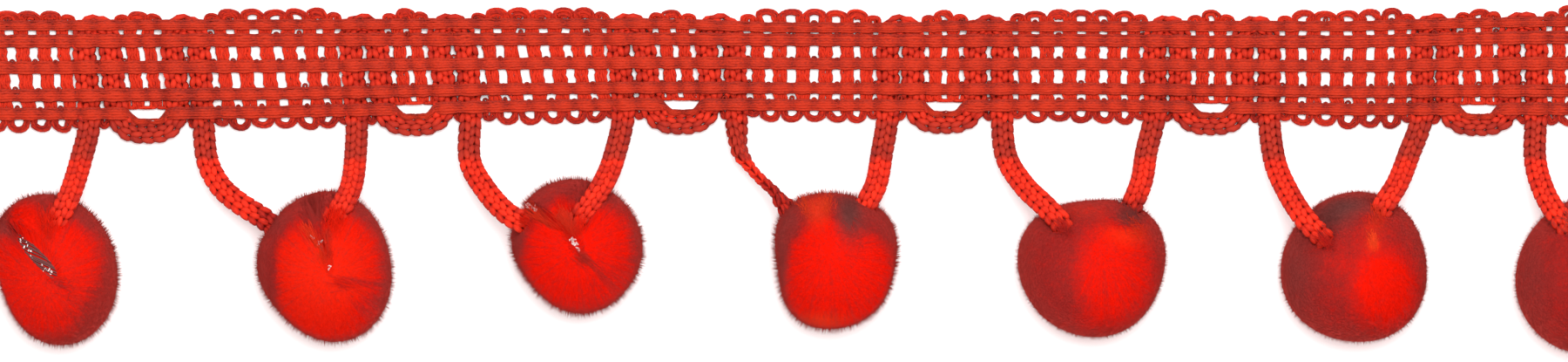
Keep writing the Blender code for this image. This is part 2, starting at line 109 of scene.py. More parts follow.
# %% A class for shader maths
class Value:
    """A node's output. Sums and products with it add Math nodes to the same tree."""

    def __init__(self, tree, socket):
        self.tree, self.socket = tree, socket

    def _math(self, operation, first, second):
        return add(self.tree, "Math", {"operation": operation}, {0: first, 1: second})

    def __add__(self, other):
        return self._math("ADD", self, other)

    def __sub__(self, other):
        return self._math("SUBTRACT", self, other)

    def __mul__(self, other):
        return self._math("MULTIPLY", self, other)

    def __rsub__(self, other):
        return self._math("SUBTRACT", other, self)

    __radd__ = __add__
    __rmul__ = __mul__

    def kept(self):
        """The same value, held between 0 and 1."""
        return add(self.tree, "Clamp", {}, {0: self})

    def into(self, socket):
        """Links the value to an input socket."""
        self.tree.links.new(self.socket, socket)


def add(tree, kind, settings, sockets, out=0):
    """Makes a node, sets its settings, then gives each input socket a value or a link."""
    node = tree.nodes.new("ShaderNode" + kind)
    for name, value in settings.items():
        setattr(node, name, value)
    for name, value in sockets.items():
        if isinstance(value, Value):
            value.into(node.inputs[name])
        else:
            node.inputs[name].default_value = value
    return Value(tree, node.outputs[out])


def mixed(share, first, second):
    """A colour between two others: Mix node in colour mode, whose colour sockets are numbers 6 and 7."""
    return add(share.tree, "Mix", {"data_type": "RGBA"}, {0: share, 6: first, 7: second}, out=2)


def attribute(tree, name):
    """The number that the mesh holds under this name at each of its points."""
    return add(tree, "Attribute", {"attribute_name": name}, {}, out="Fac")


def object_place(tree):
    """The place in the object's own coordinates."""
    return add(tree, "TexCoord", {}, {}, out="Object")


def noise(place, scale, detail):
    """Soft noise about 0.5, with so many waves a unit of the place."""
    return add(place.tree, "TexNoise", {}, {"Vector": place, "Scale": scale, "Detail": detail})


def eased(value, start, end, low=0.0):
    """low where the value is at start, 1 where it is at end, and smooth between."""
    return add(value.tree, "MapRange", {"interpolation_type": "SMOOTHSTEP"},
               {0: value, 1: start, 2: end, 3: low})


def new_material(name, constants):
    """A material with a Principled shader whose plain values are set on its own sockets."""
    material = bpy.data.materials.new(name)
    material.use_nodes = True
    tree = material.node_tree
    shader = tree.nodes["Principled BSDF"]
    for socket, value in constants.items():
        shader.inputs[socket].default_value = value
    return material, tree, shader


# %% The floor
FLOOR_SIZE = 6.0
FLOOR_COLOUR = (0.98, 0.98, 0.98, 1.0)

half = FLOOR_SIZE / 2
floor_corners = [(-half, -half, 0), (half, -half, 0), (half, half, 0), (-half, half, 0)]
floor_mesh = bpy.data.meshes.new("floor")
floor_mesh.from_pydata(floor_corners, [], [(0, 1, 2, 3)])
floor = bpy.data.objects.new("floor", floor_mesh)
scene.collection.objects.link(floor)
floor_mesh.materials.append(new_material("pale_floor", {"Base Color": FLOOR_COLOUR, "Roughness": 0.9})[0])
print("floor:", FLOOR_SIZE, "m square")

# %% [markdown]
# ## Strands
#
# Almost everything here is a strand: a thin closed tube along a curved path. A curve object could give one,
# but there are thousands, so they are worked out together as arrays. A batch is many strands with the same
# count of rings. Each point of a ring is
#
#     centre + wide * cos(a) * side + thick * sin(a) * over
#
# where `side` is the path's direction crossed with a reference direction and `over` stands on both. Each end
# closes on one tip point.

# %% A batch of strands
SHORTEST = 1e-9  # a length that is safe to divide by


def length(vectors):
    """The length of each vector."""
    return np.linalg.norm(vectors, axis=-1)


def unit(vectors):
    """Each vector divided by its own length."""
    return vectors / np.maximum(length(vectors), SHORTEST)[..., None]


def points_at(x, y, z):
    """Points from their coordinates, each of which may be one number or an array."""
    return np.stack(np.broadcast_arrays(x, y, z), axis=-1)


def points_round(angle, reach, z):
    """Points at this angle and reach in plan, at a height."""
    return points_at(reach * np.cos(angle), reach * np.sin(angle), z)


def strands(paths, wide, thick, shade, sides=5, lie=(0.0, 0.0, 1.0)):
    """A batch from paths of shape (strands, rings, 3), in millimetres.

    wide and thick are half sizes, and shade is how bright the yarn is there, from 0 to 1. Each may be one
    number or an array of shape (strands, rings). lie is the reference direction."""
    paths = np.asarray(paths, float)
    count, rings = paths.shape[:2]
    wide, thick, shade = (np.broadcast_to(np.asarray(v, float), (count, rings)) for v in (wide, thick, shade))
    forward = unit(np.gradient(paths, axis=1))
    side = unit(np.cross(forward, np.broadcast_to(lie, forward.shape)))
    over = np.cross(side, forward)
    angle = 2 * np.pi * np.arange(sides) / sides
    across = (wide[..., None] * np.cos(angle))[..., None] * side[:, :, None]
    upward = (thick[..., None] * np.sin(angle))[..., None] * over[:, :, None]
    tube = paths[:, :, None] + across + upward
    first_tips = paths[:, 0] - forward[:, 0] * thick[:, :1]
    last_tips = paths[:, -1] + forward[:, -1] * thick[:, -1:]
    steps = length(np.diff(paths, axis=1))
    along = np.concatenate([np.zeros((count, 1)), np.cumsum(steps, axis=1)], axis=1)
    return {"tube": tube, "tips": np.stack([first_tips, last_tips], axis=1), "along": along, "shade": shade}


# %% [markdown]
# Each strand also needs two flat maps. `Yarn` follows the yarn, with its length in millimetres, so that
# fine fibre streaks can run along it. The second is for baking: every strand is laid out flat on it,
# one after another on shelves, so that no two share a spot.

# %% One mesh from many batches
GIRTH_ON_MAP = 1.6  # millimetres of map that each strand's girth takes
SHELF_MARGIN = 0.1  # of a shelf's height, left free above and below the strand
RESTING_LEVEL = 0.02  # millimetres above the surface, for yarn that would dip into it


def batch_faces(batch, first_point, first_strand):
    """A batch's faces: each corner's point number, strand, length and girth, and each face's size.

    Four-cornered walls stand between neighbouring rings, and a fan of triangles closes each end."""
    count, rings, sides = batch["tube"].shape[:3]
    strand, ring, turn = np.meshgrid(np.arange(count), np.arange(rings), np.arange(sides), indexing="ij")
    number = first_point + (strand * rings + ring) * sides + turn
    after = np.roll(number, -1, axis=2)
    walls = np.stack([number[:, :-1], number[:, 1:], after[:, 1:], after[:, :-1]], axis=-1).reshape(-1)
    wall_ring = np.stack([ring[:, :-1], ring[:, 1:], ring[:, 1:], ring[:, :-1]], axis=-1).reshape(-1)
    wall_turn = np.stack([turn, turn, turn + 1, turn + 1], axis=-1)[:, :-1].reshape(-1)
    wall_strand = np.repeat(strand[:, :-1], 4)
    tip = first_point + count * rings * sides + 2 * strand[:, 0]
    start = np.stack([tip, number[:, 0], after[:, 0]], axis=-1).reshape(-1)
    end = np.stack([tip + 1, after[:, -1], number[:, -1]], axis=-1).reshape(-1)
    fan_turn = np.stack([turn[:, 0] + 0.5, turn[:, 0], turn[:, 0] + 1], axis=-1).reshape(-1)
    end_turn = np.stack([turn[:, 0] + 0.5, turn[:, 0] + 1, turn[:, 0]], axis=-1).reshape(-1)
    fan_strand = np.repeat(strand[:, 0], 3)
    strands_of = np.concatenate([wall_strand, fan_strand, fan_strand])
    ring_of = np.concatenate([wall_ring, np.zeros_like(start), np.full_like(end, rings - 1)])
    turn_of = np.concatenate([wall_turn, fan_turn, end_turn])
    return {
        "corners": np.concatenate([walls, start, end]),
        "sizes": np.concatenate([np.full(len(walls) // 4, 4), np.full(2 * len(start) // 3, 3)]),
        "strand": first_strand + strands_of,
        "along": batch["along"][strands_of, ring_of],
        "around": turn_of / sides,
    }


def strand_object(name, batches, material, seed=0):
    """One object from all the batches, with both maps and with the attributes shade and pick."""
    points, shades, picks, faces, lengths = [], [], [], [], []
    chance = np.random.default_rng(seed)
    first_point = first_strand = 0
    for batch in batches:
        count, rings, sides = batch["tube"].shape[:3]
        faces.append(batch_faces(batch, first_point, first_strand))
        points += [batch["tube"].reshape(-1, 3), batch["tips"].reshape(-1, 3)]
        shades += [np.repeat(batch["shade"].reshape(-1), sides), batch["shade"][:, [0, -1]].reshape(-1)]
        pick = chance.random(count)
        picks += [np.repeat(pick, rings * sides), np.repeat(pick, 2)]
        lengths.append(batch["along"][:, -1])
        first_point += count * rings * sides + 2 * count
        first_strand += count
    joined = {key: np.concatenate([face[key] for face in faces]) for key in faces[0]}
    lengths = np.concatenate(lengths)
    resting = np.concatenate(points)
    resting[:, 2] = np.maximum(resting[:, 2], RESTING_LEVEL)
    return mesh_object(
        name,
        resting,
        joined["corners"],
        joined["sizes"],
        material,
        maps={
            "Yarn": np.stack([joined["around"], joined["along"]], axis=-1),
            "OFBake": shelf_map(lengths, joined["strand"], joined["along"], joined["around"]),
        },
        attributes={"shade": np.concatenate(shades), "pick": np.concatenate(picks)},
    )


def shelf_map(lengths, strand, along, around):
    """Strands one after another along shelves: x = start of the strand + along, y = shelf + around."""
    total = lengths.sum()
    shelves = max(1, round(math.sqrt(total / GIRTH_ON_MAP)))
    start = np.cumsum(lengths) - lengths
    shelf = np.floor(start / (total / shelves) * (1 - 1e-9))
    x = (start - shelf * total / shelves)[strand] + along
    y = shelf[strand] + SHELF_MARGIN + (1 - 2 * SHELF_MARGIN) * around
    return np.stack([x / (total / shelves + lengths.max()), y / shelves], axis=-1)


def mesh_object(name, points, corners, sizes, material, maps, attributes, normals=None):
    """A smooth mesh object from arrays. Points are in millimetres, and the object stays at the origin."""
    mesh = bpy.data.meshes.new(name)
    mesh.vertices.add(len(points))
    mesh.vertices.foreach_set("co", (points * MM).astype(np.float32).reshape(-1))
    mesh.loops.add(len(corners))
    mesh.loops.foreach_set("vertex_index", corners.astype(np.int32))
    mesh.polygons.add(len(sizes))
    mesh.polygons.foreach_set("loop_start", (np.cumsum(sizes) - sizes).astype(np.int32))
    mesh.update(calc_edges=True)
    mesh.polygons.foreach_set("use_smooth", np.ones(len(sizes), bool))
    for map_name, places in maps.items():
        layer = mesh.uv_layers.new(name=map_name)
        layer.data.foreach_set("uv", places.astype(np.float32).reshape(-1))
    for attribute, values in attributes.items():
        mesh.attributes.new(attribute, "FLOAT", "POINT").data.foreach_set("value", values.astype(np.float32))
    mesh.materials.append(material)
    thing = bpy.data.objects.new(name, mesh)
    scene.collection.objects.link(thing)
    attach(thing, "root")
    if normals is not None:
        mesh.normals_split_custom_set_from_vertices(normals.astype(np.float32))
    print(f"{name}: {int((sizes - 2).sum())} triangles")
    return thing


# %% [markdown]
# ## Dyed yarn, with painted shade
#
# The heading's yarn is a bright, slightly orange red where it stands proud, and a darker brownish red,
# which is painted shade, where it dips between its neighbours. It is spun from fine filaments, so it has
# streaks along its length, in its colour and as a faint relief. The streaks are noise that is stretched
# along the `Yarn` map. The attribute `shade` tells deep places from proud ones, so it carries the painted
# shade, and `pick` is a number of its own for each strand.

# %% The yarn material
HEADING_STREAKS = (5.0, 1.3)  # to the girth of a strand, and to the millimetre along it
STRAND_APART = 50.0  # how far apart on the noise two strands' streaks may lie
HEADING_RELIEF = (0.9, 0.15)  # strength, and depth in millimetres
LEAST_PROUD, BY_SHADE = 0.12, 0.75  # share of the proud red where shade is 0, and how much shade adds
BY_FIBRES, BY_PATCHES, BY_PICK = 2.0, 0.6, 0.35  # how far streaks, wide patches and the pick change it


def fibre_streaks(tree, to_the_girth, to_the_millimetre):
    """The strand's shade and pick, and noise that is stretched along its `Yarn` map."""
    place = add(tree, "UVMap", {"uv_map": "Yarn"}, {})
    around, along = (add(tree, "SeparateXYZ", {}, {0: place}, out=axis) for axis in (0, 1))
    shade, pick = attribute(tree, "shade"), attribute(tree, "pick")
    stretched = add(tree, "CombineXYZ", {},
                    {0: around * to_the_girth, 1: along * to_the_millimetre, 2: pick * STRAND_APART})
    return shade, pick, noise(stretched, scale=2.0, detail=2.0)


def give(shader, colour, fibres, relief):
    """The shader's colour, with the fibre streaks as its relief."""
    sockets = {"Strength": relief[0], "Distance": relief[1] * MM, "Height": fibres}
    add(fibres.tree, "Bump", {}, sockets).into(shader.inputs["Normal"])
    colour.into(shader.inputs["Base Color"])


def yarn_material(name, deep, proud):
    """Colour = deep to proud by shade, changed a little by streaks, wide patches and the strand's pick."""
    material, tree, shader = new_material(name, {"Roughness": 0.75, "Specular IOR Level": 0.15})
    shade, pick, fibres = fibre_streaks(tree, *HEADING_STREAKS)
    patches = noise(object_place(tree), scale=90.0, detail=1.0)
    uneven = (fibres - 0.5) * BY_FIBRES + (patches - 0.5) * BY_PATCHES + (pick - 0.5) * BY_PICK
    share = (LEAST_PROUD + shade * BY_SHADE + uneven).kept()
    give(shader, mixed(share, (*deep, 1.0), (*proud, 1.0)), fibres, HEADING_RELIEF)
    return material


# deep is the darker red of painted shade where the yarn dips, and proud is the yarn's own red.
weft_red = yarn_material("weft_red", deep=(0.19, 0.008, 0.006), proud=(0.60, 0.024, 0.006))
warp_red = yarn_material("warp_red", deep=(0.18, 0.014, 0.010), proud=(0.50, 0.028, 0.008))
print("yarns of the heading:", weft_red.name, "and", warp_red.name)

# %% [markdown]
# ## The heading: its columns and rows
#
# Upright weft yarns run in columns, and five rows of warp yarn cross them. In four columns of each repeat
# the knitted cord takes the place of the weft. The columns aren't equally wide, because the cord pushes its
# neighbours aside. The bars lean in the left half, where the trim has been pulled askew. In the middle
# stretch the lower rows lie closer together, and all rows rise and fall a little. One function, `warped`,
# does all this to any point of an even heading.

# %% Columns and rows
COLUMN_WIDTHS = np.array([3.44, 3.80, 2.62, 2.50, 3.88, 3.78, 2.84, 3.40, 3.22, 3.30, 2.94, 2.66])
REPEAT = len(COLUMN_WIDTHS)
CORD_PLACES = (0, 1, 4, 5)  # of each repeat: the cord instead of weft
SLOT_PLACES = (2, 3)  # of each repeat: weft that stops short above the cord's short loop
FIRST_COLUMN, LAST_COLUMN = -7, 72
COLUMNS_START = -105.3  # the left edge of column 0
ROWS = [6.25, 4.0, 0.2, -3.8, -6.45]
LEAN, LEAN_FROM, LEAN_TO = 0.11, 2.0, -22.0
GATHER, GATHER_MIDDLE, GATHER_REACH = 0.115, 15.0, 78.0  # the lower rows lie closer in the middle stretch
GATHER_FROM, GATHER_TO = 4.0, -6.3  # levels between which it grows
RISE_AT = [-110, -76, -38, -19, 20, 39, 58, 78, 97, 107]  # along the trim
RISES = [-0.1, 0.05, 0.17, 0.17, -0.1, 0.0, -0.2, -0.2, 0.3, 0.45]  # of all the rows there

columns = np.arange(FIRST_COLUMN, LAST_COLUMN + 1)


def column_edge(column):
    """The left edge of a column: whole repeats, then the widths before it in its own repeat."""
    before = np.concatenate([[0.0], np.cumsum(COLUMN_WIDTHS)])
    return COLUMNS_START + column // REPEAT * before[-1] + before[column % REPEAT]


def column_middle(column):
    """Halfway between a column's two edges."""
    return (column_edge(column) + column_edge(column + 1)) / 2


def soft_step(value):
    """0 below 0, 1 above 1, and smooth between."""
    value = np.clip(value, 0, 1)
    return value * value * (3 - 2 * value)


def plateau(x, middle, reach):
    """1 about the middle, with soft sides that end a little past the reach."""
    return np.exp(-(((x - middle) / reach) ** 4))


def warped(points):
    """Moves points of the even heading: x by the lean times -y, y by the gather and the rise."""
    moved = np.array(points, float)
    x, y = moved[..., 0].copy(), moved[..., 1].copy()
    gathered = GATHER * (GATHER_FROM - np.clip(y, GATHER_TO, GATHER_FROM))
    moved[..., 0] -= LEAN * soft_step((x - LEAN_FROM) / (LEAN_TO - LEAN_FROM)) * y
    moved[..., 1] += gathered * plateau(x, GATHER_MIDDLE, GATHER_REACH) + np.interp(x, RISE_AT, RISES)
    return moved


def is_cord(column):
    """True for the columns that the knitted cord runs in."""
    return np.isin(column % REPEAT, CORD_PLACES)


def is_slot(column):
    """True for the columns whose weft stops above a short loop."""
    return np.isin(column % REPEAT, SLOT_PLACES)


print("columns:", len(columns), "of them cord:", int(is_cord(columns).sum()))

# %% [markdown]
# ## The weft
#
# Each weft yarn goes up one bar, turns over the top as a small loop, the picot, comes down the next bar and
# turns again at the bottom. So a bar is two bundles side by side, one for each neighbour, and between two
# bars the bundles form a long closed ring. Each ring here is three fine strands, one inside the other. A
# ring is worked out as a racetrack: two straight sides and two half ellipses. Beside a cord there is no
# second bar, so the yarn comes out of the cord's edge, goes down its one bar and back in.

# %% Rings of weft
BAR_SHARE = 0.57  # of its column's width
BUNDLE = 3  # strands
SIDE_STEPS, TURN_STEPS = 25, 8
WEFT_SIZE = 0.25  # half the width of one strand
RING_TOP, RING_BOTTOM = 7.2, -7.15  # where the picots begin
PICOT_TOP, PICOT_BOTTOM = 0.85, 1.5  # how far they reach out, at the middle of the bundle
PICOT_FLARE = 0.26  # by how much a picot is wider than its ring
SPREAD, PICOT_SPREAD = 0.30, 0.25  # between strands, in a bar and at the end of a picot
SLOT_LEVEL, SLOT_REACH, SLOT_SPREAD = -5.55, 0.12, 0.04  # of the turns above a short loop
TOP_WOBBLE, REACH_WOBBLE, SKEW_WOBBLE = 0.05, 0.13, 0.12
HALF_TOP, HALF_BOTTOM, HALF_SPREAD = RING_TOP - 0.45, RING_BOTTOM + 0.15, 0.18  # of rings beside a cord
HALF_REACHES, HALF_WOBBLE = (PICOT_TOP - 0.15, PICOT_BOTTOM - 0.4), 0.1
HALF_INSET, HALF_TUCK = 0.25, 1.2  # how far in the cord's column such a ring ends, and how deep it tucks in

weft_chance = np.random.default_rng(11)
out = (np.arange(BUNDLE) - (BUNDLE - 1) / 2)[:, None]  # place in the bundle, outermost last
gaps = np.arange(FIRST_COLUMN - 1, LAST_COLUMN + 1)  # gap k lies between columns k and k + 1
left_cord, right_cord = is_cord(gaps), is_cord(gaps + 1)
over_slot = is_slot(gaps) | is_slot(gaps + 1)
inner = (gaps >= FIRST_COLUMN) & (gaps < LAST_COLUMN)
between_bars = inner & ~left_cord & ~right_cord
rise = np.linspace(0, 1, SIDE_STEPS)


def bundle_middle(column, side):
    """The middle of a column's left (-1) or right (1) bundle."""
    return column_middle(column) + side * (column_edge(column + 1) - column_edge(column)) * BAR_SHARE / 4


def each(values):
    """One value for each ring, or one for all, ready to meet strands and steps."""
    return np.asarray(values, float)[..., None, None]


def turn_over(half_wide, reach, skew, spread):
    """Offsets of a picot: half an ellipse, flared, as (x from the ring's middle, y from its end)."""
    angle = np.linspace(0, np.pi, TURN_STEPS + 2)[1:-1]
    x = -(each(half_wide) + out * SPREAD) * np.cos(angle) * (1 + PICOT_FLARE * np.sin(angle))
    return x + each(skew) * np.sin(angle), (each(reach) + out * each(spread)) * np.sin(angle)


def ring_parts(start, end, top, bottom, over, under):
    """A racetrack's parts as (x, y): up where it starts, over, down where it ends, and under."""
    middle, way, half_wide = each((start + end) / 2), each(np.sign(end - start)), np.abs(end - start) / 2
    over_x, over_y = turn_over(half_wide, *over)
    under_x, under_y = turn_over(half_wide, *under)
    side_x = way * (each(half_wide) + out * SPREAD)
    up_y = each(bottom) + (each(top) - each(bottom)) * rise
    return [
        (middle - side_x, up_y),
        (middle + way * over_x, each(top) + over_y),
        (middle + side_x, up_y[..., ::-1]),
        (middle - way * under_x, each(bottom) - under_y),
    ]


def joined_parts(parts):
    """The x and the y of whole paths, from parts that follow each other."""
    pairs = [np.broadcast_arrays(x, y) for x, y in parts]
    return [np.concatenate([pair[axis] for pair in pairs], axis=-1) for axis in (0, 1)]


def full_rings(at):
    """Closed rings for gaps between two bars. The first two points come again at the end."""
    slot = is_slot(at) & is_slot(at + 1)
    wobble = weft_chance.normal(0, 1, (4, len(at)))
    under_reach = np.where(slot, SLOT_REACH, PICOT_BOTTOM + REACH_WOBBLE * wobble[3])
    parts = ring_parts(
        bundle_middle(at, 1), bundle_middle(at + 1, -1),
        top=RING_TOP + TOP_WOBBLE * wobble[0],
        bottom=np.where(slot, SLOT_LEVEL, RING_BOTTOM),
        over=(PICOT_TOP + REACH_WOBBLE * wobble[1], SKEW_WOBBLE * wobble[2], PICOT_SPREAD),
        under=(under_reach, SKEW_WOBBLE * wobble[0], np.where(slot, SLOT_SPREAD, PICOT_SPREAD)),
    )
    return [np.pad(values, ((0, 0), (0, 0), (0, 2)), mode="wrap") for values in joined_parts(parts)]


def half_rings(at, bar_side):
    """Over, down the bar and under, for gaps with a bar on one side (1 is right) and a cord on the other."""
    bar = bundle_middle(at + 1, -1) if bar_side > 0 else bundle_middle(at, 1)
    slot = is_slot(at) | is_slot(at + 1)
    wobble = weft_chance.normal(0, 1, (3, len(at)))
    over_reach, under_reach = (HALF_REACHES[end] + HALF_WOBBLE * wobble[end] for end in (0, 1))
    parts = ring_parts(
        column_edge(at + 1) - bar_side * HALF_INSET, bar,
        top=HALF_TOP,
        bottom=np.where(slot, SLOT_LEVEL, HALF_BOTTOM),
        over=(over_reach, 0, HALF_SPREAD),
        under=(np.where(slot, SLOT_REACH, under_reach), 0, np.where(slot, SLOT_SPREAD, HALF_SPREAD)),
    )
    x, y = (np.pad(values, ((0, 0), (0, 0), (1, 1)), mode="edge") for values in joined_parts(parts[1:]))
    y[..., 0] -= HALF_TUCK
    y[..., -1] += HALF_TUCK
    return x, y


# %% From flat rings to strands
WEFT_LEVEL, WEFT_RISE, RISE_REACH = 0.42, 0.40, 1.6  # pressed down under a row, rising between the rows
X_WAVES = [(0.09, 3.1, 1.0), (0.07, 5.9, 2.7)]  # millimetres, radians a millimetre, share of the phase
Z_WAVES = [(0.10, 1.1, 1.0), (0.09, 4.7, 1.7)]
SHADE_WAVES = [(0.18, 5.3, 3.1)]
PICOT_FROM, PICOT_FADE = 6.9, 0.8
PICOT_DARKER = (0.68, 0.5)  # at the bottom edge and at the top edge
FILL_FROM, FILL_ARCS, FILL_STEPS = 7.1, [(0.72, 0.5), (0.32, 0.16)], 7  # arcs: share of half width, height
FILL_TURN = (0.05 * np.pi, 0.95 * np.pi)
CLOSED_LEFT_OF, CLOSED_SHARES = -15.0, (0.85, 0.25)  # how many eyes are closed to the left, to the right


def waver(y, phase, waves):
    """A sum of small sine waves along a strand."""
    return sum(size * np.sin(y * rate + times * phase) for size, rate, times in waves)


def finished_weft(x, y):
    """Strands from flat paths: height, a little waver, the heading's warp, and their shade."""
    x, y = np.broadcast_arrays(x, y)
    phase = weft_chance.random(x.shape[:2])[..., None] * 2 * np.pi
    from_row = np.min(np.abs(y[..., None] - np.array(ROWS)), axis=-1)
    z = WEFT_LEVEL + WEFT_RISE * np.clip(from_row / RISE_REACH, 0, 1) + waver(y, phase, Z_WAVES)
    paths = warped(points_at(x + waver(y, phase, X_WAVES), y, z))
    outside = np.clip((np.abs(y) - PICOT_FROM) / PICOT_FADE, 0, 1) * np.where(y < 0, *PICOT_DARKER)
    shade = (1.0 - outside + waver(y, phase, SHADE_WAVES)).reshape(-1, x.shape[-1])
    return strands(paths.reshape(*shade.shape, 3), WEFT_SIZE, WEFT_SIZE, shade=shade)


def picot_fills(at):
    """Short inner arcs that all but close the eye of a picot."""
    left, right = bundle_middle(at, 1), bundle_middle(at + 1, -1)
    angle = np.linspace(*FILL_TURN, FILL_STEPS)
    share, height = np.array(FILL_ARCS).T[..., None]
    x = each((left + right) / 2) - each((right - left) / 2) * share * np.cos(angle)
    return x, FILL_FROM + height * np.sin(angle)


rings = finished_weft(*full_rings(gaps[between_bars]))
halves = [finished_weft(*half_rings(gaps[inner & left_cord & ~right_cord], 1)),
          finished_weft(*half_rings(gaps[inner & ~left_cord & right_cord], -1))]
closed = weft_chance.random(len(gaps)) < np.where(column_edge(gaps) < CLOSED_LEFT_OF, *CLOSED_SHARES)
fills = finished_weft(*picot_fills(gaps[closed & between_bars]))
print("weft strands:", len(rings["tube"]) + sum(len(half["tube"]) for half in halves))

# %% [markdown]
# Between the two cords of a pair there is no bar, but a short picot still shows at the bottom edge.

# %% Small picots between the cords
SMALL_HALF_WIDE, SMALL_REACH, SMALL_SPREAD, SMALL_FROM, SMALL_STEPS = 0.62, 1.15, 0.25, -7.1, 11

pair_edges = column_edge(gaps[left_cord & right_cord & inner] + 1)
small_turn = np.linspace(0.1 * np.pi, 0.9 * np.pi, SMALL_STEPS)
small_x = each(pair_edges) + (SMALL_HALF_WIDE + out * SMALL_SPREAD) * np.cos(small_turn)
small_y = SMALL_FROM - (SMALL_REACH + out * SMALL_SPREAD) * np.sin(small_turn)
small_picots = finished_weft(small_x, small_y)
heading_weft = strand_object("heading_weft", [rings, *halves, fills, small_picots], weft_red, seed=3)

# %% [markdown]
# ## The warp rows
#
# A row is a chain of stitches that binds the columns. Over each column its yarns float up and spread into
# a smooth band, and between two columns they dip and draw together. Over a cord the float is higher. Below
# the slot the lowest row follows the cord's short loop. Height and spread are both sin(pi * t) to a power,
# with t from 0 to 1 across the column.

# %% Floats of the rows
ROW_STRANDS, ROW_WIDTHS = 5, [1.5, 1.95, 1.9, 1.85, 1.8]
STRAND_FILL = 0.70  # half a strand's width, as a share of its place in the row
STEPS_A_COLUMN = 6
ARCH_POWER = 0.8
WARP_THICK, ROW_CROWN = 0.2, 0.3  # half a strand's height, and how far the outer strands lie lower
BAR_FLOAT, CORD_FLOAT = 1.45, 2.5  # how high the middle of a float is
BAR_DIP, CORD_DIP = 0.85, 1.7
DIP_WIDTH, DIP_SHADE = 0.84, 0.15  # of a row where it dips, as shares; DIP_SHADE is painted shade
EDGE_SHADE = 0.5  # of each row's upper strand, which is darker
ROW_WAVER = 0.03
SLOT_SAG = -1.15  # how far the lowest row sinks under a slot
SLOT_WIDTH = 0.45  # its width there, as a share of its own
TOP_SAGS = [(0.42, 3.0, 17.0), (0.22, 38.0, 11.0)]  # of the top row: how much, around where, how far
BLEND = [0.1, 0.2, 0.4, 0.2, 0.1]

t = (np.arange(STEPS_A_COLUMN) + 0.5) / STEPS_A_COLUMN
row_x = (column_edge(columns)[:, None] * (1 - t) + column_edge(columns + 1)[:, None] * t).reshape(-1)
arch = np.tile(np.sin(np.pi * t) ** ARCH_POWER, len(columns))


def softened(flags):
    """A flag of each column as a value at each step, blended where it changes."""
    values = np.repeat(flags.astype(float), STEPS_A_COLUMN)
    return np.convolve(np.pad(values, len(BLEND) // 2, mode="edge"), BLEND, mode="valid")


def row_level(number, x, slot_here):
    """The even level of a row: the top one sags in two places, the lowest one dips along the short loops."""
    level = ROWS[number] + 0 * x
    if number == 0:
        level -= sum(depth * plateau(x, at, reach) for depth, at, reach in TOP_SAGS)
    if number == len(ROWS) - 1:
        level += SLOT_SAG * slot_here**2
    return level


def row_strands(number, width):
    """The strands of one row, side by side."""
    lowest = number == len(ROWS) - 1
    lifted = np.maximum(cord_here, slot_here) if lowest else cord_here
    top = BAR_FLOAT + (CORD_FLOAT - BAR_FLOAT) * lifted
    low = BAR_DIP + (CORD_DIP - BAR_DIP) * lifted
    spread = (DIP_WIDTH + (1 - DIP_WIDTH) * arch) * (1 - (1 - SLOT_WIDTH) * slot_here**2 * lowest)
    across = (np.arange(ROW_STRANDS) - (ROW_STRANDS - 1) / 2)[:, None] * width / ROW_STRANDS
    waver_y, waver_z = row_chance.normal(0, ROW_WAVER, (2, ROW_STRANDS, len(row_x)))
    y = row_level(number, row_x, slot_here) + across * spread + waver_y
    z = low + (top - low) * arch - ROW_CROWN * (np.abs(across) / width * 2) ** 2 + waver_z
    strand_shade = np.where(np.arange(ROW_STRANDS) < ROW_STRANDS - 1, 1.0, EDGE_SHADE)[:, None]
    # Painted shade: the row is darker where it dips between columns.
    shade = (DIP_SHADE + (1 - DIP_SHADE) * arch) * strand_shade
    half_wide = STRAND_FILL * width / ROW_STRANDS * spread
    return strands(warped(points_at(row_x, y, z)), half_wide, WARP_THICK, shade=shade)


row_chance = np.random.default_rng(5)
cord_here, slot_here = softened(is_cord(columns)), softened(is_slot(columns))
row_batches = [row_strands(number, width) for number, width in enumerate(ROW_WIDTHS)]
print("row strands:", sum(len(batch["tube"]) for batch in row_batches))

# %% [markdown]
# In each dip the chain's own loop shows: a fine thread crosses the row on the slant and curls over its upper
# edge, with a pin-hole of light in the curl. One loop is a short list of points; an array places it in all
# the dips.

# %% Loops in the dips
LOOP = np.array([
    (-0.30, -0.30, 0.30), (-0.12, 0.15, 0.60), (0.08, 0.50, 0.86), (0.22, 0.74, 1.02), (0.27, 0.94, 0.98),
    (0.16, 1.08, 0.92), (0.0, 1.12, 0.90), (-0.17, 1.05, 0.90), (-0.25, 0.88, 0.9), (-0.22, 0.62, 0.65),
])
# LOOP_SHADE makes the loops dark: painted shade, as they lie low in the dips.
LOOP_SIZE, LOOP_SIDES, LOOP_SHADE = 0.17, 4, 0.2
LOOP_SHARES = [0.35, 0.35, 0.85, 0.85, 0.85]  # of each row's dips, that show their loop
LOOP_WOBBLE = 0.14
CORD_LIFT = 0.85  # of a loop between two cords

loop_batches = []
for number, width in enumerate(ROW_WIDTHS):
    keep = gaps[inner & ~over_slot] if number == len(ROWS) - 1 else gaps[inner]
    keep = keep[row_chance.random(len(keep)) < LOOP_SHARES[number]]
    lift = CORD_LIFT * is_cord(keep) * is_cord(keep + 1)
    edge = column_edge(keep + 1)
    middle = points_at(edge, row_level(number, edge, 0), lift)
    size = 1 + row_chance.normal(0, LOOP_WOBBLE, (len(keep), 1, 3))
    points = LOOP * size * [1, width / 2, 1] + middle[:, None]
    loop_batches.append(strands(warped(points), LOOP_SIZE, LOOP_SIZE, sides=LOOP_SIDES, shade=LOOP_SHADE))
heading_warp = strand_object("heading_warp", row_batches + loop_batches, warp_red, seed=4)

# %% [markdown]
# ## The cord's way
#
# One knitted cord runs through everything: up a column of the heading, round at the top edge, down the next
# column, then in a short loop to the third column on, up and down again, and out to a pompom and back. Its
# route is the same list of points as in the solid, made smooth by a Catmull-Rom curve.

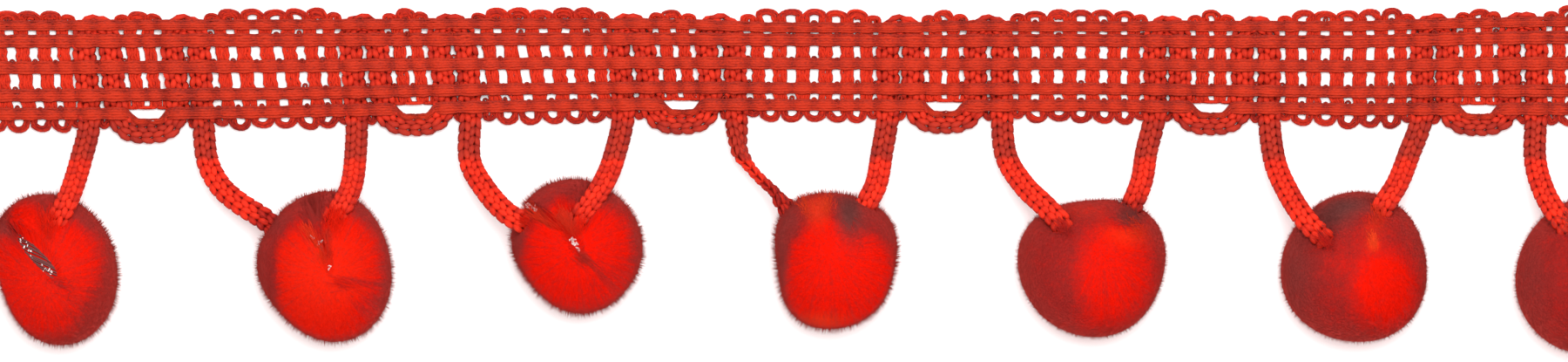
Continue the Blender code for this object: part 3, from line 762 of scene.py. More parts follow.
# %% The route
CORD_THICK, CORD_SQUEEZE, CORD_LOW = 1.6, 0.92, 0.3  # its height, pressed in the heading, and its underside
TURN_TOP, CORD_TOP, COLUMN_EXIT, EXIT_LEAN = 6.2, 6.3, -7.3, 0.45
LOOP_START = -5.0
LOOP_SHAPE = [(0.05, 0.52), (0.2, 0.9), (0.5, 1.0), (0.8, 0.9), (0.95, 0.52)]  # shares of span and of depth
LOOP_LOWEST = [-9.2, -8.1, -7.9, -7.8, -8.0, -8.1]
POMPOM_MIDDLE, POMPOM_HALF_HEIGHT = 8.7, 9.6
POMPOM_BEND = (0.22, 0.5, 0.78)
EDGEWISE_LEG, EDGEWISE_TWIST = 3, (60, 90, 85, 50, 20)  # a left leg that lies on its edge, and its degrees
ROUTE_STEP = 0.1
LEFT_LEGS = [
    [(-125.3, -13.0, 4.0), (-123.2, -18.0, 7.2), (-120.0, -22.4, 9.6), (-116.6, -25.2, 10.4)],
    [(-86.1, -13.2, 3.6), (-84.2, -16.8, 5.8), (-81.5, -19.2, 7.6), (-77.3, -21.9, 9.0)],
    [(-48.4, -13.2, 4.4), (-46.0, -17.5, 8.0), (-42.9, -20.8, 11.0), (-40.2, -22.3, 12.0)],
    [(-9.8, -11.8, 3.4), (-7.6, -15.0, 5.6), (-4.6, -17.9, 8.0), (-3.2, -19.8, 9.0)],
    [(28.5, -12.5, 4.0), (31.0, -16.8, 8.2), (34.2, -20.0, 12.0), (36.4, -22.6, 13.4)],
    [(67.0, -13.2, 5.0), (68.6, -17.5, 9.2), (71.1, -21.7, 13.6), (73.8, -24.6, 14.2)],
    [(104.4, -13.2, 4.8), (105.6, -18.2, 9.4), (108.0, -22.3, 13.0), (110.0, -25.2, 13.2)],
]
RIGHT_LEGS = [
    [(-108.0, -24.0, 12.8), (-107.2, -22.0, 13.6), (-106.2, -20.0, 12.8), (-105.2, -17.2, 9.8),
     (-104.2, -13.0, 5.0)],
    [(-68.0, -23.0, 12.4), (-67.6, -21.4, 13.6), (-66.4, -19.6, 13.0), (-65.3, -16.9, 9.8),
     (-64.9, -13.0, 5.0)],
    [(-32.8, -21.8, 13.8), (-31.0, -19.4, 12.6), (-29.4, -16.8, 10.0), (-27.9, -13.2, 5.8)],
    [(8.2, -20.0, 10.4), (9.8, -16.6, 7.8), (10.6, -12.4, 4.2)],
    [(46.2, -20.0, 10.2), (47.8, -16.2, 7.6), (48.6, -12.0, 4.0)],
    [(82.0, -20.2, 12.6), (84.4, -16.5, 9.0), (86.2, -12.5, 4.6)],
    [(118.0, -21.2, 12.4), (122.4, -17.4, 9.0), (124.8, -12.8, 4.6)],
]
POMPOMS = np.array([  # x and y, then the reach to the east, north-east and on round to the south-east
    (-107.8, -29.0, 9.1, 9.5, 11.0, 10.9, 8.4, 8.6, 10.7, 10.3),
    (-69.0, -28.4, 9.5, 10.0, 10.9, 10.1, 9.9, 9.4, 10.8, 10.8),
    (-33.4, -25.6, 9.9, 9.6, 9.8, 9.6, 9.0, 8.3, 9.6, 9.8),
    (4.1, -27.8, 8.6, 10.0, 10.0, 10.6, 8.6, 9.7, 9.6, 8.9),
    (40.6, -28.8, 10.6, 11.5, 10.0, 10.9, 10.6, 9.8, 9.8, 10.1),
    (78.2, -28.4, 10.5, 10.8, 10.8, 10.3, 10.6, 10.9, 10.9, 11.3),
    (112.0, -29.6, 10.4, 10.8, 11.3, 10.7, 10.8, 11.4, 11.4, 10.8),
])  # the reach is where the yarn is dense, so it differs by a few tenths from the solids' sizes
pompom_middles = np.column_stack([POMPOMS[:, :2], np.full(len(POMPOMS), POMPOM_MIDDLE)])
INSIDE_LEVEL = CORD_LOW + CORD_THICK * CORD_SQUEEZE / 2


def inside_heading(x, y, lean=1.0):
    """A point of the cord in the heading, moved as the heading is, with this share of its lean."""
    moved = warped([x, y, INSIDE_LEVEL])
    return (x + (moved[0] - x) * lean, moved[1], INSIDE_LEVEL)


def in_column(column, y, lean=1.0):
    """A point of the cord on a column's middle line."""
    return inside_heading(float(column_middle(column)), y, lean)


def column_end(column):
    """Where the cord leaves a column at the bottom edge."""
    return in_column(column, COLUMN_EXIT, EXIT_LEAN)


def turn_points(column):
    """Half a circle from one column to the next at the top edge."""
    left, right = float(column_middle(column)), float(column_middle(column + 1))
    radius = (right - left) / 2
    points = []
    for turn in np.radians([180, 120, 60, 0]):
        x, y = left + radius * (1 + math.cos(turn)), TURN_TOP - radius * (1 - math.sin(turn))
        points.append(inside_heading(x, y))
    return points


def short_loop(column, lowest):
    """The short loop below the heading, from this column to the third one after it."""
    start, end = in_column(column, LOOP_START), in_column(column + 3, LOOP_START)
    points = [start]
    for along, depth in LOOP_SHAPE:
        x, level = (start[axis] + along * (end[axis] - start[axis]) for axis in (0, 1))
        points.append((x, level + depth * (lowest - level), CORD_LOW + CORD_THICK / 2))
    return points + [end]


def through_pompom(number):
    """Three points of a parabola whose vertex is at the pompom's middle."""
    enter, leave = np.array(LEFT_LEGS[number][-1]), np.array(RIGHT_LEGS[number][0])
    pull = pompom_middles[number] * 2 - (enter + leave) / 2
    return [tuple((1 - t) ** 2 * enter + 2 * t * (1 - t) * pull + t**2 * leave) for t in POMPOM_BEND]


def whole_route():
    """All of the cord's points with its twist at each, in degrees."""
    route, twist = [in_column(FIRST_COLUMN, CORD_TOP), column_end(FIRST_COLUMN)], [0.0, 0.0]
    for number in range(len(POMPOMS)):
        up = number * REPEAT
        part = [*LEFT_LEGS[number], *through_pompom(number), *RIGHT_LEGS[number], column_end(up)]
        if number < len(POMPOMS) - 1:
            part += turn_points(up) + short_loop(up + 1, LOOP_LOWEST[number]) + turn_points(up + 4)
            part.append(column_end(up + 5))
        turned = EDGEWISE_TWIST if number == EDGEWISE_LEG else ()
        route += part
        twist += [*turned, *[0.0] * (len(part) - len(turned))]
    return np.array([*route, in_column(LAST_COLUMN, CORD_TOP)]), np.array([*twist, 0.0])


def smooth_curve(points, twist):
    """A Catmull-Rom curve: each stretch is a cubic whose slopes come from the points beside it."""
    before = np.vstack([2 * points[0] - points[1], points[:-2]])
    start, end = points[:-1], points[1:]
    after = np.vstack([points[2:], 2 * points[-1] - points[-2]])
    spans = length(end - start)
    slope_in = (end - before) * (spans / (spans + length(start - before)))[:, None]
    slope_out = (after - start) * (spans / (spans + length(after - end)))[:, None]
    pieces, twists = [], []
    for index, span in enumerate(spans):
        t = np.arange(0, 1, ROUTE_STEP / span)[:, None]
        ease = soft_step(t)
        piece = (1 - ease) * start[index] + (t**3 - 2 * t**2 + t) * slope_in[index]
        pieces.append(piece + ease * end[index] + (t**3 - t**2) * slope_out[index])
        twists.append(twist[index] + (twist[index + 1] - twist[index]) * ease[:, 0])
    return np.vstack(pieces), np.concatenate(twists)


route, route_twist = whole_route()
fine_route, fine_twist = smooth_curve(route, route_twist)
fine_length = np.concatenate([[0.0], np.cumsum(length(np.diff(fine_route, axis=0)))])
print("cord length:", round(fine_length[-1]), "mm, points in the list:", len(route))

# %% [markdown]
# ## Knit stitches
#
# The cord is knitted on four needles, so it has four wales, and flattened it shows two of them on each
# face. Every stitch is a V of two plump legs. A leg starts low at the V's foot, rises over the surface
# and dives under the next stitch, so it is a short strand of five points. The cord's frame, its direction,
# its flat side and its upper side, comes from the route, and the legs are placed in it all at once.

# %% Where pompoms are
SIDES = POMPOMS.shape[1] - 2  # of a pompom, each with its own reach


def outline(number, angle):
    """A pompom's reach in plan at this angle: a smooth closed curve through its eight sides."""
    off = np.asarray(angle)[..., None] - np.arange(SIDES) * 2 * np.pi / SIDES
    weights = 1 + 2 * np.cos(off) + 2 * np.cos(2 * off) + 2 * np.cos(3 * off) + np.cos(4 * off)
    return (POMPOMS[number, 2:] * weights).sum(axis=-1) / SIDES


def size_towards(number, way):
    """The vector from a pompom's middle to its surface along unit vectors."""
    angle = np.arctan2(way[..., 1], way[..., 0])
    flat = outline(number, angle) * np.hypot(way[..., 0], way[..., 1])
    return points_round(angle, flat, POMPOM_HALF_HEIGHT * way[..., 2])


def depth_in_pompom(points):
    """The least share of a pompom's size at which each point lies: below 1 is inside."""
    shares = []
    for number, middle in enumerate(pompom_middles):
        off = points - middle
        shares.append(length(off) / length(size_towards(number, unit(off))))
    return np.min(shares, axis=0)


print("pompoms:", len(POMPOMS), "widths:", [round(float(row[2] + row[6]), 1) for row in POMPOMS])

# %% Stitches
COURSE = 1.5  # from one row of stitches to the next
LEG = np.array([  # along the cord, across from its wale's middle, and up from its face
    (-1.15, 0.16, -0.36), (-0.6, 0.24, 0.02), (0.0, 0.38, 0.12), (0.6, 0.52, 0.02), (1.15, 0.58, -0.36),
])
# LEG_SHADES are painted shade: the leg is darker at its ends, where it dives under the next stitch.
LEG_SIZES, LEG_SHADES = np.array([0.74, 1.0, 0.80]), np.array([0.70, 1.0, 0.90])  # between the leg's ends
LEG_WIDE, LEG_THICK = 0.52, 0.34
LENGTH_WOBBLE, HEIGHT_WOBBLE = 0.04, 0.05
WALE_MIDDLES = 0.75  # from the cord's middle line
FACE_LEVEL = 0.42  # how far a face's yarn lies from the cord's middle
HALF_CORD, SIDE_DROP = 1.5, 0.45  # how much nearer to the middle a face's yarn lies at the cord's sides
PRESSED_WIDER = 0.07  # by how much the rows press the cord wider in the heading
PRESSED_BELOW = 1.6  # height of the cord under which it is inside the heading
OUTER_SHADE = 0.76  # painted shade of the outer legs, which turn down at the cord's sides
# FADES and FADED paint shade: the stitches darken where the cord goes down into a pompom.
FADES = np.array([(-76.2, -22.0, 3.0), (-3.6, -19.0, 4.2), (45.8, -21.2, 3.2)])
FADED = 0.75  # how much darker ends are that go down between dark tufts: x, y and reach of each above
HIDDEN_DEPTH = 0.55  # share of a pompom's size under which no stitch is made
FRAME_REACH = 0.3


def on_route(at):
    """The route's points at these lengths along it."""
    return np.stack([np.interp(at, fine_length, fine_route[:, axis]) for axis in range(3)], axis=-1)


def cord_frame(at):
    """Middle, flat side and upper side of the cord at these lengths along it."""
    forward = unit(on_route(at + FRAME_REACH) - on_route(at - FRAME_REACH))
    side = unit(np.cross(forward, [0.0, 0.0, 1.0]))
    over = np.cross(side, forward)
    turn = np.radians(np.interp(at, fine_length, fine_twist))[..., None]
    return on_route(at), side * np.cos(turn) + over * np.sin(turn), over * np.cos(turn) - side * np.sin(turn)


def in_heading(points):
    """True where the cord runs under the heading's rows."""
    return (points[..., 1] > COLUMN_EXIT) & (points[..., 2] < PRESSED_BELOW)


def legs(face, wale, leg):
    """Every leg on one side (-1 or 1) of one wale, on the upper (1) or the lower (-1) face."""
    shaken = LEG[:, 0] * (1 + stitch_chance.normal(0, LENGTH_WOBBLE, (len(course_at), 1)))
    here, side, over = cord_frame(course_at[:, None] + 0.5 * COURSE * (wale > 0) + shaken)
    across = (wale * WALE_MIDDLES + leg * LEG[:, 1]) * (1 + PRESSED_WIDER * in_heading(here))
    bulge = 1 + stitch_chance.normal(0, HEIGHT_WOBBLE, (len(course_at), 1))
    level = face * (FACE_LEVEL * (1 - SIDE_DROP * (np.abs(across) / HALF_CORD) ** 2) + LEG[:, 2] * bulge)
    path = here + side * across[..., None] + over * level[..., None]
    middle = path[:, 1:-1]
    off = length(middle[..., None, :2] - FADES[:, :2]) / FADES[:, 2]
    # Painted shade: darker at the leg's ends, on the outer legs and where the cord goes down into a pompom.
    shade = LEG_SHADES * (1 - FADED * np.exp(-(off**4)).max(axis=-1)) * (OUTER_SHADE if leg == wale else 1.0)
    batch = strands(middle, LEG_WIDE * LEG_SIZES, LEG_THICK * LEG_SIZES, lie=over[:, 1:-1], shade=shade)
    batch["tips"] = path[:, [0, -1]]
    return batch


stitch_chance = np.random.default_rng(21)
course_at = np.arange(COURSE, fine_length[-1] - COURSE, COURSE)
hidden = depth_in_pompom(on_route(course_at)) < HIDDEN_DEPTH
course_at = course_at[~hidden]
leg_batches = [legs(*place) for place in itertools.product((1, -1), (-1, 1), (-1, 1))]
print("courses:", len(course_at), "hidden in pompoms:", int(hidden.sum()))
print("legs:", sum(len(batch["tube"]) for batch in leg_batches))

# %% [markdown]
# The cord is a duller brick red just below the heading and a clear scarlet from there to the pompoms. Two
# smooth steps in the object's own y coordinate change the colour, each over about a millimetre.

# %% The cord's material
CORD_STREAKS, CORD_RELIEF = (6.0, 0.8), (0.5, 0.08)
CORD_LEAST, CORD_BY_SHADE, CORD_BY_FIBRES, CORD_BY_PICK = 0.05, 0.85, 0.9, 0.4
# The deep red of each pair is painted shade, for yarn that dips under its neighbours.
HEADING_REDS = (0.17, 0.006, 0.005, 1.0), (0.62, 0.028, 0.010, 1.0)  # for deep yarn and for proud yarn
BRICK_REDS = (0.14, 0.010, 0.009, 1.0), (0.43, 0.026, 0.012, 1.0)
SCARLETS = (0.18, 0.006, 0.005, 1.0), (0.75, 0.026, 0.008, 1.0)
BRICK_BELOW, SCARLET_BELOW = -7.6, -13.0
STRETCHES = [(BRICK_BELOW, 0.5, BRICK_REDS), (SCARLET_BELOW, 0.6, SCARLETS)]  # with half the change's length


def cord_material():
    """Deep to proud red by shade. Each stretch's pair of reds takes over below its y."""
    material, tree, shader = new_material("knit_red", {"Roughness": 0.7, "Specular IOR Level": 0.12})
    shade, pick, fibres = fibre_streaks(tree, *CORD_STREAKS)
    uneven = (fibres - 0.5) * CORD_BY_FIBRES + (pick - 0.5) * CORD_BY_PICK
    y = add(tree, "SeparateXYZ", {}, {0: object_place(tree)}, out=1)
    share = (CORD_LEAST + shade * CORD_BY_SHADE + uneven).kept()
    colour = mixed(share, *HEADING_REDS)
    for level, half, reds in STRETCHES:
        below = eased(y, (level + half) * MM, (level - half) * MM)
        colour = mixed(below, colour, mixed(share, *reds))
    give(shader, colour, fibres, CORD_RELIEF)
    return material


# %% The knitted cord
CORE_WIDE, CORE_THICK, CORE_RINGS, CORE_SIDES = 1.05, 0.40, 14, 6

# A core in the darkest red, painted shade, keeps light from showing between the stitches, in the heading
# and in the scarlet stretch.
in_the_open = depth_in_pompom(fine_route) > HIDDEN_DEPTH
filled = (in_heading(fine_route) | (fine_route[:, 1] < SCARLET_BELOW)) & in_the_open
changes = np.nonzero(np.diff(np.concatenate([[0], filled.astype(int), [0]])))[0]
cores = []
for first, end in changes.reshape(-1, 2):
    here, _, over = cord_frame(np.linspace(fine_length[first], fine_length[end - 1], CORE_RINGS)[None])
    cores.append(strands(here, CORE_WIDE, CORE_THICK, sides=CORE_SIDES, lie=over, shade=0.0))
print("core pieces:", len(cores))
knitted_cord = strand_object("knitted_cord", leg_batches + cores, cord_material(), seed=6)

# %% [markdown]
# ## The pompoms
#
# A pompom is a bundle of yarn tied at its middle and clipped round. Seen along the tie it is a flower: the
# yarn lies flat and runs out from the hub in all directions, and round that face stand the clipped ends.
# Yarn that lies flat shows its bright side, and clipped ends look darker and browner. The bright face and
# its darker rim are partly that and partly painted light and shade, of light that falls off towards the
# sides. So each pompom has a hub, the middle and half sizes of its bright face, and a few soft patches.
# The patches' tone is painted light and shade, such as shade in the clefts and a shadow beside the cord,
# and their tint is orange or grey-brown yarn.
#
# A pompom could be a displaced ball, but its outline would be hard. Here a closed bed of yarn gives the
# body, and thousands of thin tufts grow from it. Each tuft is a closed spike with four faces. On the face
# its root lies towards the hub, elsewhere it stands up, and round the sides it tapers to a soft outline.

# %% The faces of the pompoms
def named(names, rows):
    """Each row of numbers as a dictionary with these names."""
    return [dict(zip(names.split(), row)) for row in rows]


def of_pompom(number, rows):
    """The rows that belong to one pompom."""
    return [row for row in rows if row["pompom"] == number]


# All places are in millimetres from the pompom's middle.
# The bright face, its middle, half sizes and softness, is partly painted light.
FACES = named("hub_x hub_y dimple x y half_x half_y softness", [
    (-1.3, -1.6, 0.06, -1.0, -0.2, 8.6, 9.4, 0.22),
    (0.7, -1.1, 0.07, 0.7, -1.2, 8.3, 9.6, 0.18),
    (0.5, -0.4, 0.06, 0.8, -1.2, 8.6, 8.2, 0.25),
    (-1.1, 1.5, 0.03, 0.1, -2.0, 8.2, 8.4, 0.20),
    (1.3, 3.0, 0.0, 3.2, -0.6, 5.6, 6.9, 0.42),
    (2.4, 2.6, 0.0, 4.4, -3.6, 4.4, 5.2, 0.55),
    (2.0, 2.5, 0.0, 4.0, -2.0, 5.0, 6.0, 0.45),
])
# A cleft's floor is a share of the pompom's size.
CLEFTS = named("pompom from_x from_y to_x to_y width floor", [
    (0, 1.4, -1.4, -6.2, 6.8, 3.4, 0.80),
    (1, 1.2, -1.6, -0.2, 3.6, 1.3, 0.76),
    (1, -0.4, 2.8, -1.9, 11.0, 3.0, 0.72),
    (2, 1.4, -1.2, -1.6, 3.4, 1.5, 0.76),
    (2, -1.2, 2.6, -8.6, 7.0, 1.8, 0.78),
])
# Tone is brighter above 0 and darker below, as painted light and shade, and tint is orange above 0 and
# grey brown below.
PATCHES = named("pompom x y half_long half_wide turn tone tint", [
    (0, -4.2, 7.6, 3.6, 2.2, 118, 0.8, 0.0),
    (0, -7.4, 6.6, 3.0, 1.4, 138, -0.7, -0.3),
    (0, -1.0, 7.4, 2.6, 0.9, 100, -0.6, 0.0),
    (0, 4.6, 8.0, 2.8, 1.6, 140, -0.6, -0.1),
    (0, 5.2, -5.4, 3.4, 2.2, 40, -0.5, 0.0),
    (0, 1.0, -1.6, 1.6, 0.5, -40, -0.4, -0.1),
    (0, 7.8, -3.0, 6.0, 1.9, 75, -0.4, 0.0),
    (0, 0.0, -1.0, 8.0, 8.0, 0, -0.16, 0.06),
    (1, 8.8, -1.0, 6.0, 1.6, 88, -0.4, -0.05),
    (1, -8.4, 0.2, 6.4, 1.5, 96, -0.9, -0.15),
    (1, -1.7, 7.9, 3.2, 1.8, 95, -0.9, -0.2),
    (1, 6.4, 8.0, 2.4, 1.6, 135, -0.5, -0.1),
    (1, 5.0, -2.2, 2.8, 0.5, -12, -0.6, -0.1),
    (1, 6.2, -5.6, 2.4, 1.4, 45, -0.5, -0.1),
    (1, -7.0, 6.6, 2.0, 1.8, 45, -0.5, -0.3),
    (1, 0.0, -1.0, 8.0, 8.0, 0, 0.0, 0.18),
    (1, 0.6, -8.2, 5.2, 2.2, 0, 0.26, 0.0),
    (2, -1.0, 7.8, 6.5, 2.4, 0, -0.7, -0.05),
    (2, -1.7, 6.6, 2.6, 1.5, 90, 0.9, 0.0),
    (2, -8.6, 1.6, 2.8, 1.6, 90, -0.8, -0.3),
    (2, -7.6, -4.8, 5.0, 1.0, 118, -0.5, -0.2),
    (2, 9.2, -0.2, 4.6, 1.2, 90, -0.4, 0.0),
    (2, 5.6, -4.6, 3.4, 1.8, 45, -0.3, 0.0),
    (2, 2.8, -2.6, 3.2, 0.5, -45, -0.4, -0.1),
    (3, -2.6, 7.9, 2.3, 2.4, 90, 0.45, 0.5),
    (3, 1.8, 7.2, 3.2, 1.9, 100, -1.1, -1.0),
    (3, -6.4, 7.0, 2.8, 1.5, 80, -0.9, -0.4),
    (3, 5.8, 5.8, 3.2, 1.8, -20, -0.6, -0.1),
    (3, -8.0, 1.0, 7.0, 1.1, 90, -0.8, -0.4),
    (3, -2.5, -8.6, 4.0, 1.2, 0, -0.1, 0.4),
    (4, 4.8, 5.2, 2.8, 1.6, -10, 0.45, 0.35),
    (4, -6.8, -0.6, 7.0, 4.2, 90, -0.24, -0.05),
    (4, 3.4, -0.6, 5.0, 6.0, 0, -0.08, 0.0),
    (4, 0.4, -7.4, 3.4, 1.8, 0, 0.3, 0.0),
    (4, -1.5, 8.6, 3.6, 1.4, 0, 0.15, 0.1),
    (4, 5.6, 7.9, 2.2, 1.2, 30, -0.4, -0.8),
    (4, -5.5, 5.7, 1.4, 0.7, -30, -0.4, -0.2),
    (5, 2.4, -1.0, 6.2, 5.2, -45, 0.33, 0.0),
    (5, 2.3, 3.2, 0.8, 0.8, 0, 0.7, 0.7),
    (5, 2.4, 6.1, 1.9, 1.7, 0, 0.25, 0.2),
    (5, -3.4, 7.2, 4.4, 2.0, 20, -0.3, -0.8),
    (5, -8.6, -0.6, 6.5, 2.6, 92, -0.3, -0.5),
    (5, -1.0, 9.2, 5.0, 1.4, 0, -0.2, -0.5),
    (6, -8.6, -0.6, 6.0, 2.6, 92, -0.2, -0.3),
])
LOOSE_HAIRS = named("pompom from_x from_y to_x to_y spread count tone tint", [
    (0, 1.4, -1.8, 3.4, -2.4, 1.0, 16, 0.3, -0.3),
    (0, -5.0, 6.6, -7.6, 9.0, 1.4, 30, 0.4, -0.2),
    (0, -0.6, 7.6, -0.2, 4.6, 1.2, 130, 0.9, 0.1),
    (1, -2.6, 5.6, 0.6, 0.4, 0.8, 50, 0.6, 0.5),
    (1, 0.2, 5.0, 1.2, 0.2, 0.7, 40, 0.4, 0.2),
    (1, 1.6, -2.0, 5.6, -3.0, 0.9, 18, 0.4, 0.0),
    (1, 1.8, 7.6, 1.6, 4.8, 1.1, 140, 0.9, 0.1),
    (2, -6.4, 5.4, -1.2, 1.4, 1.1, 80, 0.5, 0.4),
    (2, -1.8, 4.8, 0.6, 1.6, 0.9, 120, 0.4, 0.3),
    (2, 1.0, 4.0, 0.8, 1.8, 0.8, 80, 0.8, 0.1),
    (2, -7.4, 4.0, -5.4, 3.0, 0.9, 70, 0.8, 0.1),
    (2, 0.8, -0.8, 4.6, -4.4, 0.7, 50, 0.2, 0.1),
    (2, 7.2, 5.2, 9.2, 6.6, 1.5, 22, 0.6, 0.2),
    (3, -4.6, 8.8, -3.6, 6.2, 1.1, 70, 0.3, 0.9),
    (3, -1.6, 9.0, -1.4, 6.2, 1.0, 70, 0.5, 0.8),
    (3, 2.0, 4.6, 3.6, 3.0, 1.8, 30, 0.3, -0.3),
    (3, 1.8, 8.4, 2.4, 6.0, 1.2, 40, 0.1, -0.9),
    (4, 4.8, 8.6, 6.2, 5.8, 1.6, 110, 0.2, -0.7),
    (4, 5.6, 6.2, 7.4, 4.4, 1.3, 40, 0.6, 0.5),
    (4, -4.6, 6.4, -3.0, 4.6, 0.9, 90, 0.15, 0.0),
    (5, 2.6, 8.0, 3.0, 5.4, 1.1, 60, 0.4, 0.4),
    (5, -4.2, 7.8, -3.0, 6.4, 1.8, 70, 0.1, -0.9),
    (5, -5.0, 4.2, -3.2, 2.6, 0.9, 90, 0.2, 0.0),
    (5, 2.2, 4.4, 2.5, 2.4, 0.6, 60, 0.9, 1.0),
    (6, -4.0, 8.6, -2.6, 6.4, 2.0, 40, 0.1, -0.9),
])
print("clefts:", len(CLEFTS), "patches:", len(PATCHES), "bunches of loose hairs:", len(LOOSE_HAIRS))

# %% [markdown]
# The surface starts from a pompom's outline and height. It sinks a little at the hub, where the binding
# pulls, and deeper along the clefts. Where the cord lies on it, it is pressed down, and it rises again in a
# valley beside the cord. All this is one share of the size for each direction, so that the tufts, the hairs
# and the bed can use it alike.

# %% The surface of a pompom
HUB_LEVEL, DIMPLE_REACH = 0.98, 0.3  # share of the half height, and radians round the hub
CLEFT_STEEPNESS, CLEFT_NARROWEST = 1.1, 0.02  # of its walls, and its pointed ends as a share of its width
CLEFT_ABOVE = 0.05  # height of a direction under which no cleft is cut
CORD_OPEN = [(1.1, 0.83), (0.86, 0.84), (0.88, 0.60), (0.95, 0.84), (0.83, 0.85), (0.77, 0.87), (0.80, 0.80)]
CORD_NEAR, CORD_EVERY = 17.0, 5  # the cord's points near a pompom, of which each fifth is enough
CORD_UNDER, CORD_BESIDE = 1.4, 1.5  # millimetres from its middle line
VALLEY_WIDTH, VALLEY_WIDER = 0.6, 1.5  # of a valley's side, at a pompom's side and how much wider on top
WIDER_FROM, WIDER_RATE = 0.2, 1.6  # where that widening starts and how fast it comes, by the height's share
BED_ABOVE, BED_BELOW = 0.04, 0.17  # shares of the size by which yarn stands beside the cord and lies under it


def cord_over(number):
    """The cord's points where it lies in the open on a pompom, from the pompom's middle.

    CORD_OPEN has the share of the size above which its left and its right leg show."""
    cord = fine_route[length(fine_route - pompom_middles[number]) < CORD_NEAR]
    deep = depth_in_pompom(cord)
    limit = np.where(np.arange(len(cord)) < np.argmin(deep), *CORD_OPEN[number])
    return (cord[deep > limit] - pompom_middles[number])[::CORD_EVERY]


def hub_way(number):
    """The unit vector towards a pompom's hub."""
    face = FACES[number]
    return unit(np.array([face["hub_x"], face["hub_y"], POMPOM_HALF_HEIGHT * HUB_LEVEL]))


def in_cleft(cleft, ways, places):
    """1 along the middle of a cleft, 0 past its lens-shaped outline, and soft between."""
    start = np.array([cleft["from_x"], cleft["from_y"]])
    line = np.array([cleft["to_x"], cleft["to_y"]]) - start
    off = places[..., :2] - start
    along = (off @ line) / (line @ line)
    across = np.abs(off[..., 0] * line[1] - off[..., 1] * line[0]) / length(line)
    lens = np.sqrt(np.clip(np.sin(np.pi * np.clip(along, 0, 1)), 0, 1))
    inner = across / (cleft["width"] / 2 * np.maximum(lens, CLEFT_NARROWEST))
    return soft_step(0.5 + CLEFT_STEEPNESS * (1 - inner)) * (ways[..., 2] > CLEFT_ABOVE) * (lens > 0)


def cord_bed(number, ways):
    """The share of the size at which yarn lies: pressed down under the cord, rising in a valley beside it."""
    cord = cord_over(number)
    along = ways @ cord.T
    apart = np.sqrt(np.maximum((cord**2).sum(axis=1) - along**2, 0))
    deep = np.minimum(depth_in_pompom(cord + pompom_middles[number]) + BED_ABOVE, 1.0)
    wide = VALLEY_WIDTH + VALLEY_WIDER * np.clip(unit(cord)[:, 2] * WIDER_RATE - WIDER_FROM, 0, 1)
    level = deep + (1 - deep) * soft_step((apart / deep - CORD_BESIDE) / wide)
    level = np.where(apart < CORD_UNDER, deep - BED_BELOW, level)
    return np.where(along > 0, level, 1.0).min(axis=-1)


def surface_share(number, ways):
    """How far the surface lies along each unit vector, as a share of the size: hub, clefts and cord's bed."""
    places = size_towards(number, ways)
    from_hub = np.arccos(np.clip(ways @ hub_way(number), -1, 1))
    share = 1 - FACES[number]["dimple"] * np.exp(-((from_hub / DIMPLE_REACH) ** 2))
    for cleft in of_pompom(number, CLEFTS):
        share = share - (share - cleft["floor"]) * in_cleft(cleft, ways, places)
    return np.minimum(share, cord_bed(number, unit(places)))


def surface_points(number, ways, under=0.0):
    """The surface towards each unit vector, or points under it by this share of the size."""
    return size_towards(number, ways) * (surface_share(number, ways) - under)[..., None]


print("cord points in the open:", [len(cord_over(number)) for number in range(len(POMPOMS))])

# %% [markdown]
# The tone is worked out from the form: bright on the face, darker past its soft edge, with fine streaks
# that run out from the hub, and then the patches. The bright face and the dark sides are partly how the
# yarn lies and partly painted light and shade.

# %% The tone of the yarn, with painted light and shade
RIM_FROM, RIM_WIDE = 0.08, 0.34  # heights of a direction over which flat yarn gives way to clipped ends
# Past the rim, towards the sides, the tone falls to CLIPPED_TONE: partly the clipped ends and partly painted
# shade. LYING_TONE on the face is partly painted light.
CLIPPED_TONE, LYING_TONE = 0.05, 0.85  # of clipped ends, and how much brighter yarn is that lies flat
STREAK_SHARE = 0.45
STREAKS = [(19, 0.3), (29, 1.9), (43, 4.0), (57, 2.6), (71, 5.1), (97, 0.9)]  # how many round the hub


def tone_with_painted_light(number, ways):
    """Tone and tint towards each unit vector, and how flat the yarn lies there."""
    face = FACES[number]
    x, y = np.moveaxis(surface_points(number, ways)[..., :2], -1, 0)
    off = np.hypot((x - face["x"]) / face["half_x"], (y - face["y"]) / face["half_y"])
    # up falls to 0 towards the sides, where the tone drops to painted shade.
    up = soft_step((ways[..., 2] - RIM_FROM) / RIM_WIDE)
    lay = soft_step((1 + face["softness"] - off) / (2 * face["softness"])) * up
    angle = np.arctan2(y - face["hub_y"], x - face["hub_x"])
    streak = sum(np.cos(count * angle + phase) for count, phase in STREAKS) / len(STREAKS)
    tone, tint = CLIPPED_TONE + LYING_TONE * lay + STREAK_SHARE * streak * lay, np.zeros_like(lay)
    for patch in of_pompom(number, PATCHES):
        turn = math.radians(patch["turn"])
        along = (x - patch["x"]) * math.cos(turn) + (y - patch["y"]) * math.sin(turn)
        across = (y - patch["y"]) * math.cos(turn) - (x - patch["x"]) * math.sin(turn)
        weight = np.exp(-((along / patch["half_long"]) ** 2) - (across / patch["half_wide"]) ** 2) * up
        tone, tint = tone + patch["tone"] * weight, tint + patch["tint"] * weight
    return np.clip(tone, 0, 1), np.clip(tint, -1, 1), lay


# %% [markdown]
# Blender's hair particles would be a quick way to tufts, but particles aren't part of a mesh, and here each
# piece has to be one. So a spiral spreads the tips evenly over the surface, each tip gets a root under it,
# and bunches of loose hairs are put where they stand out. Tufts and hairs both become spikes.

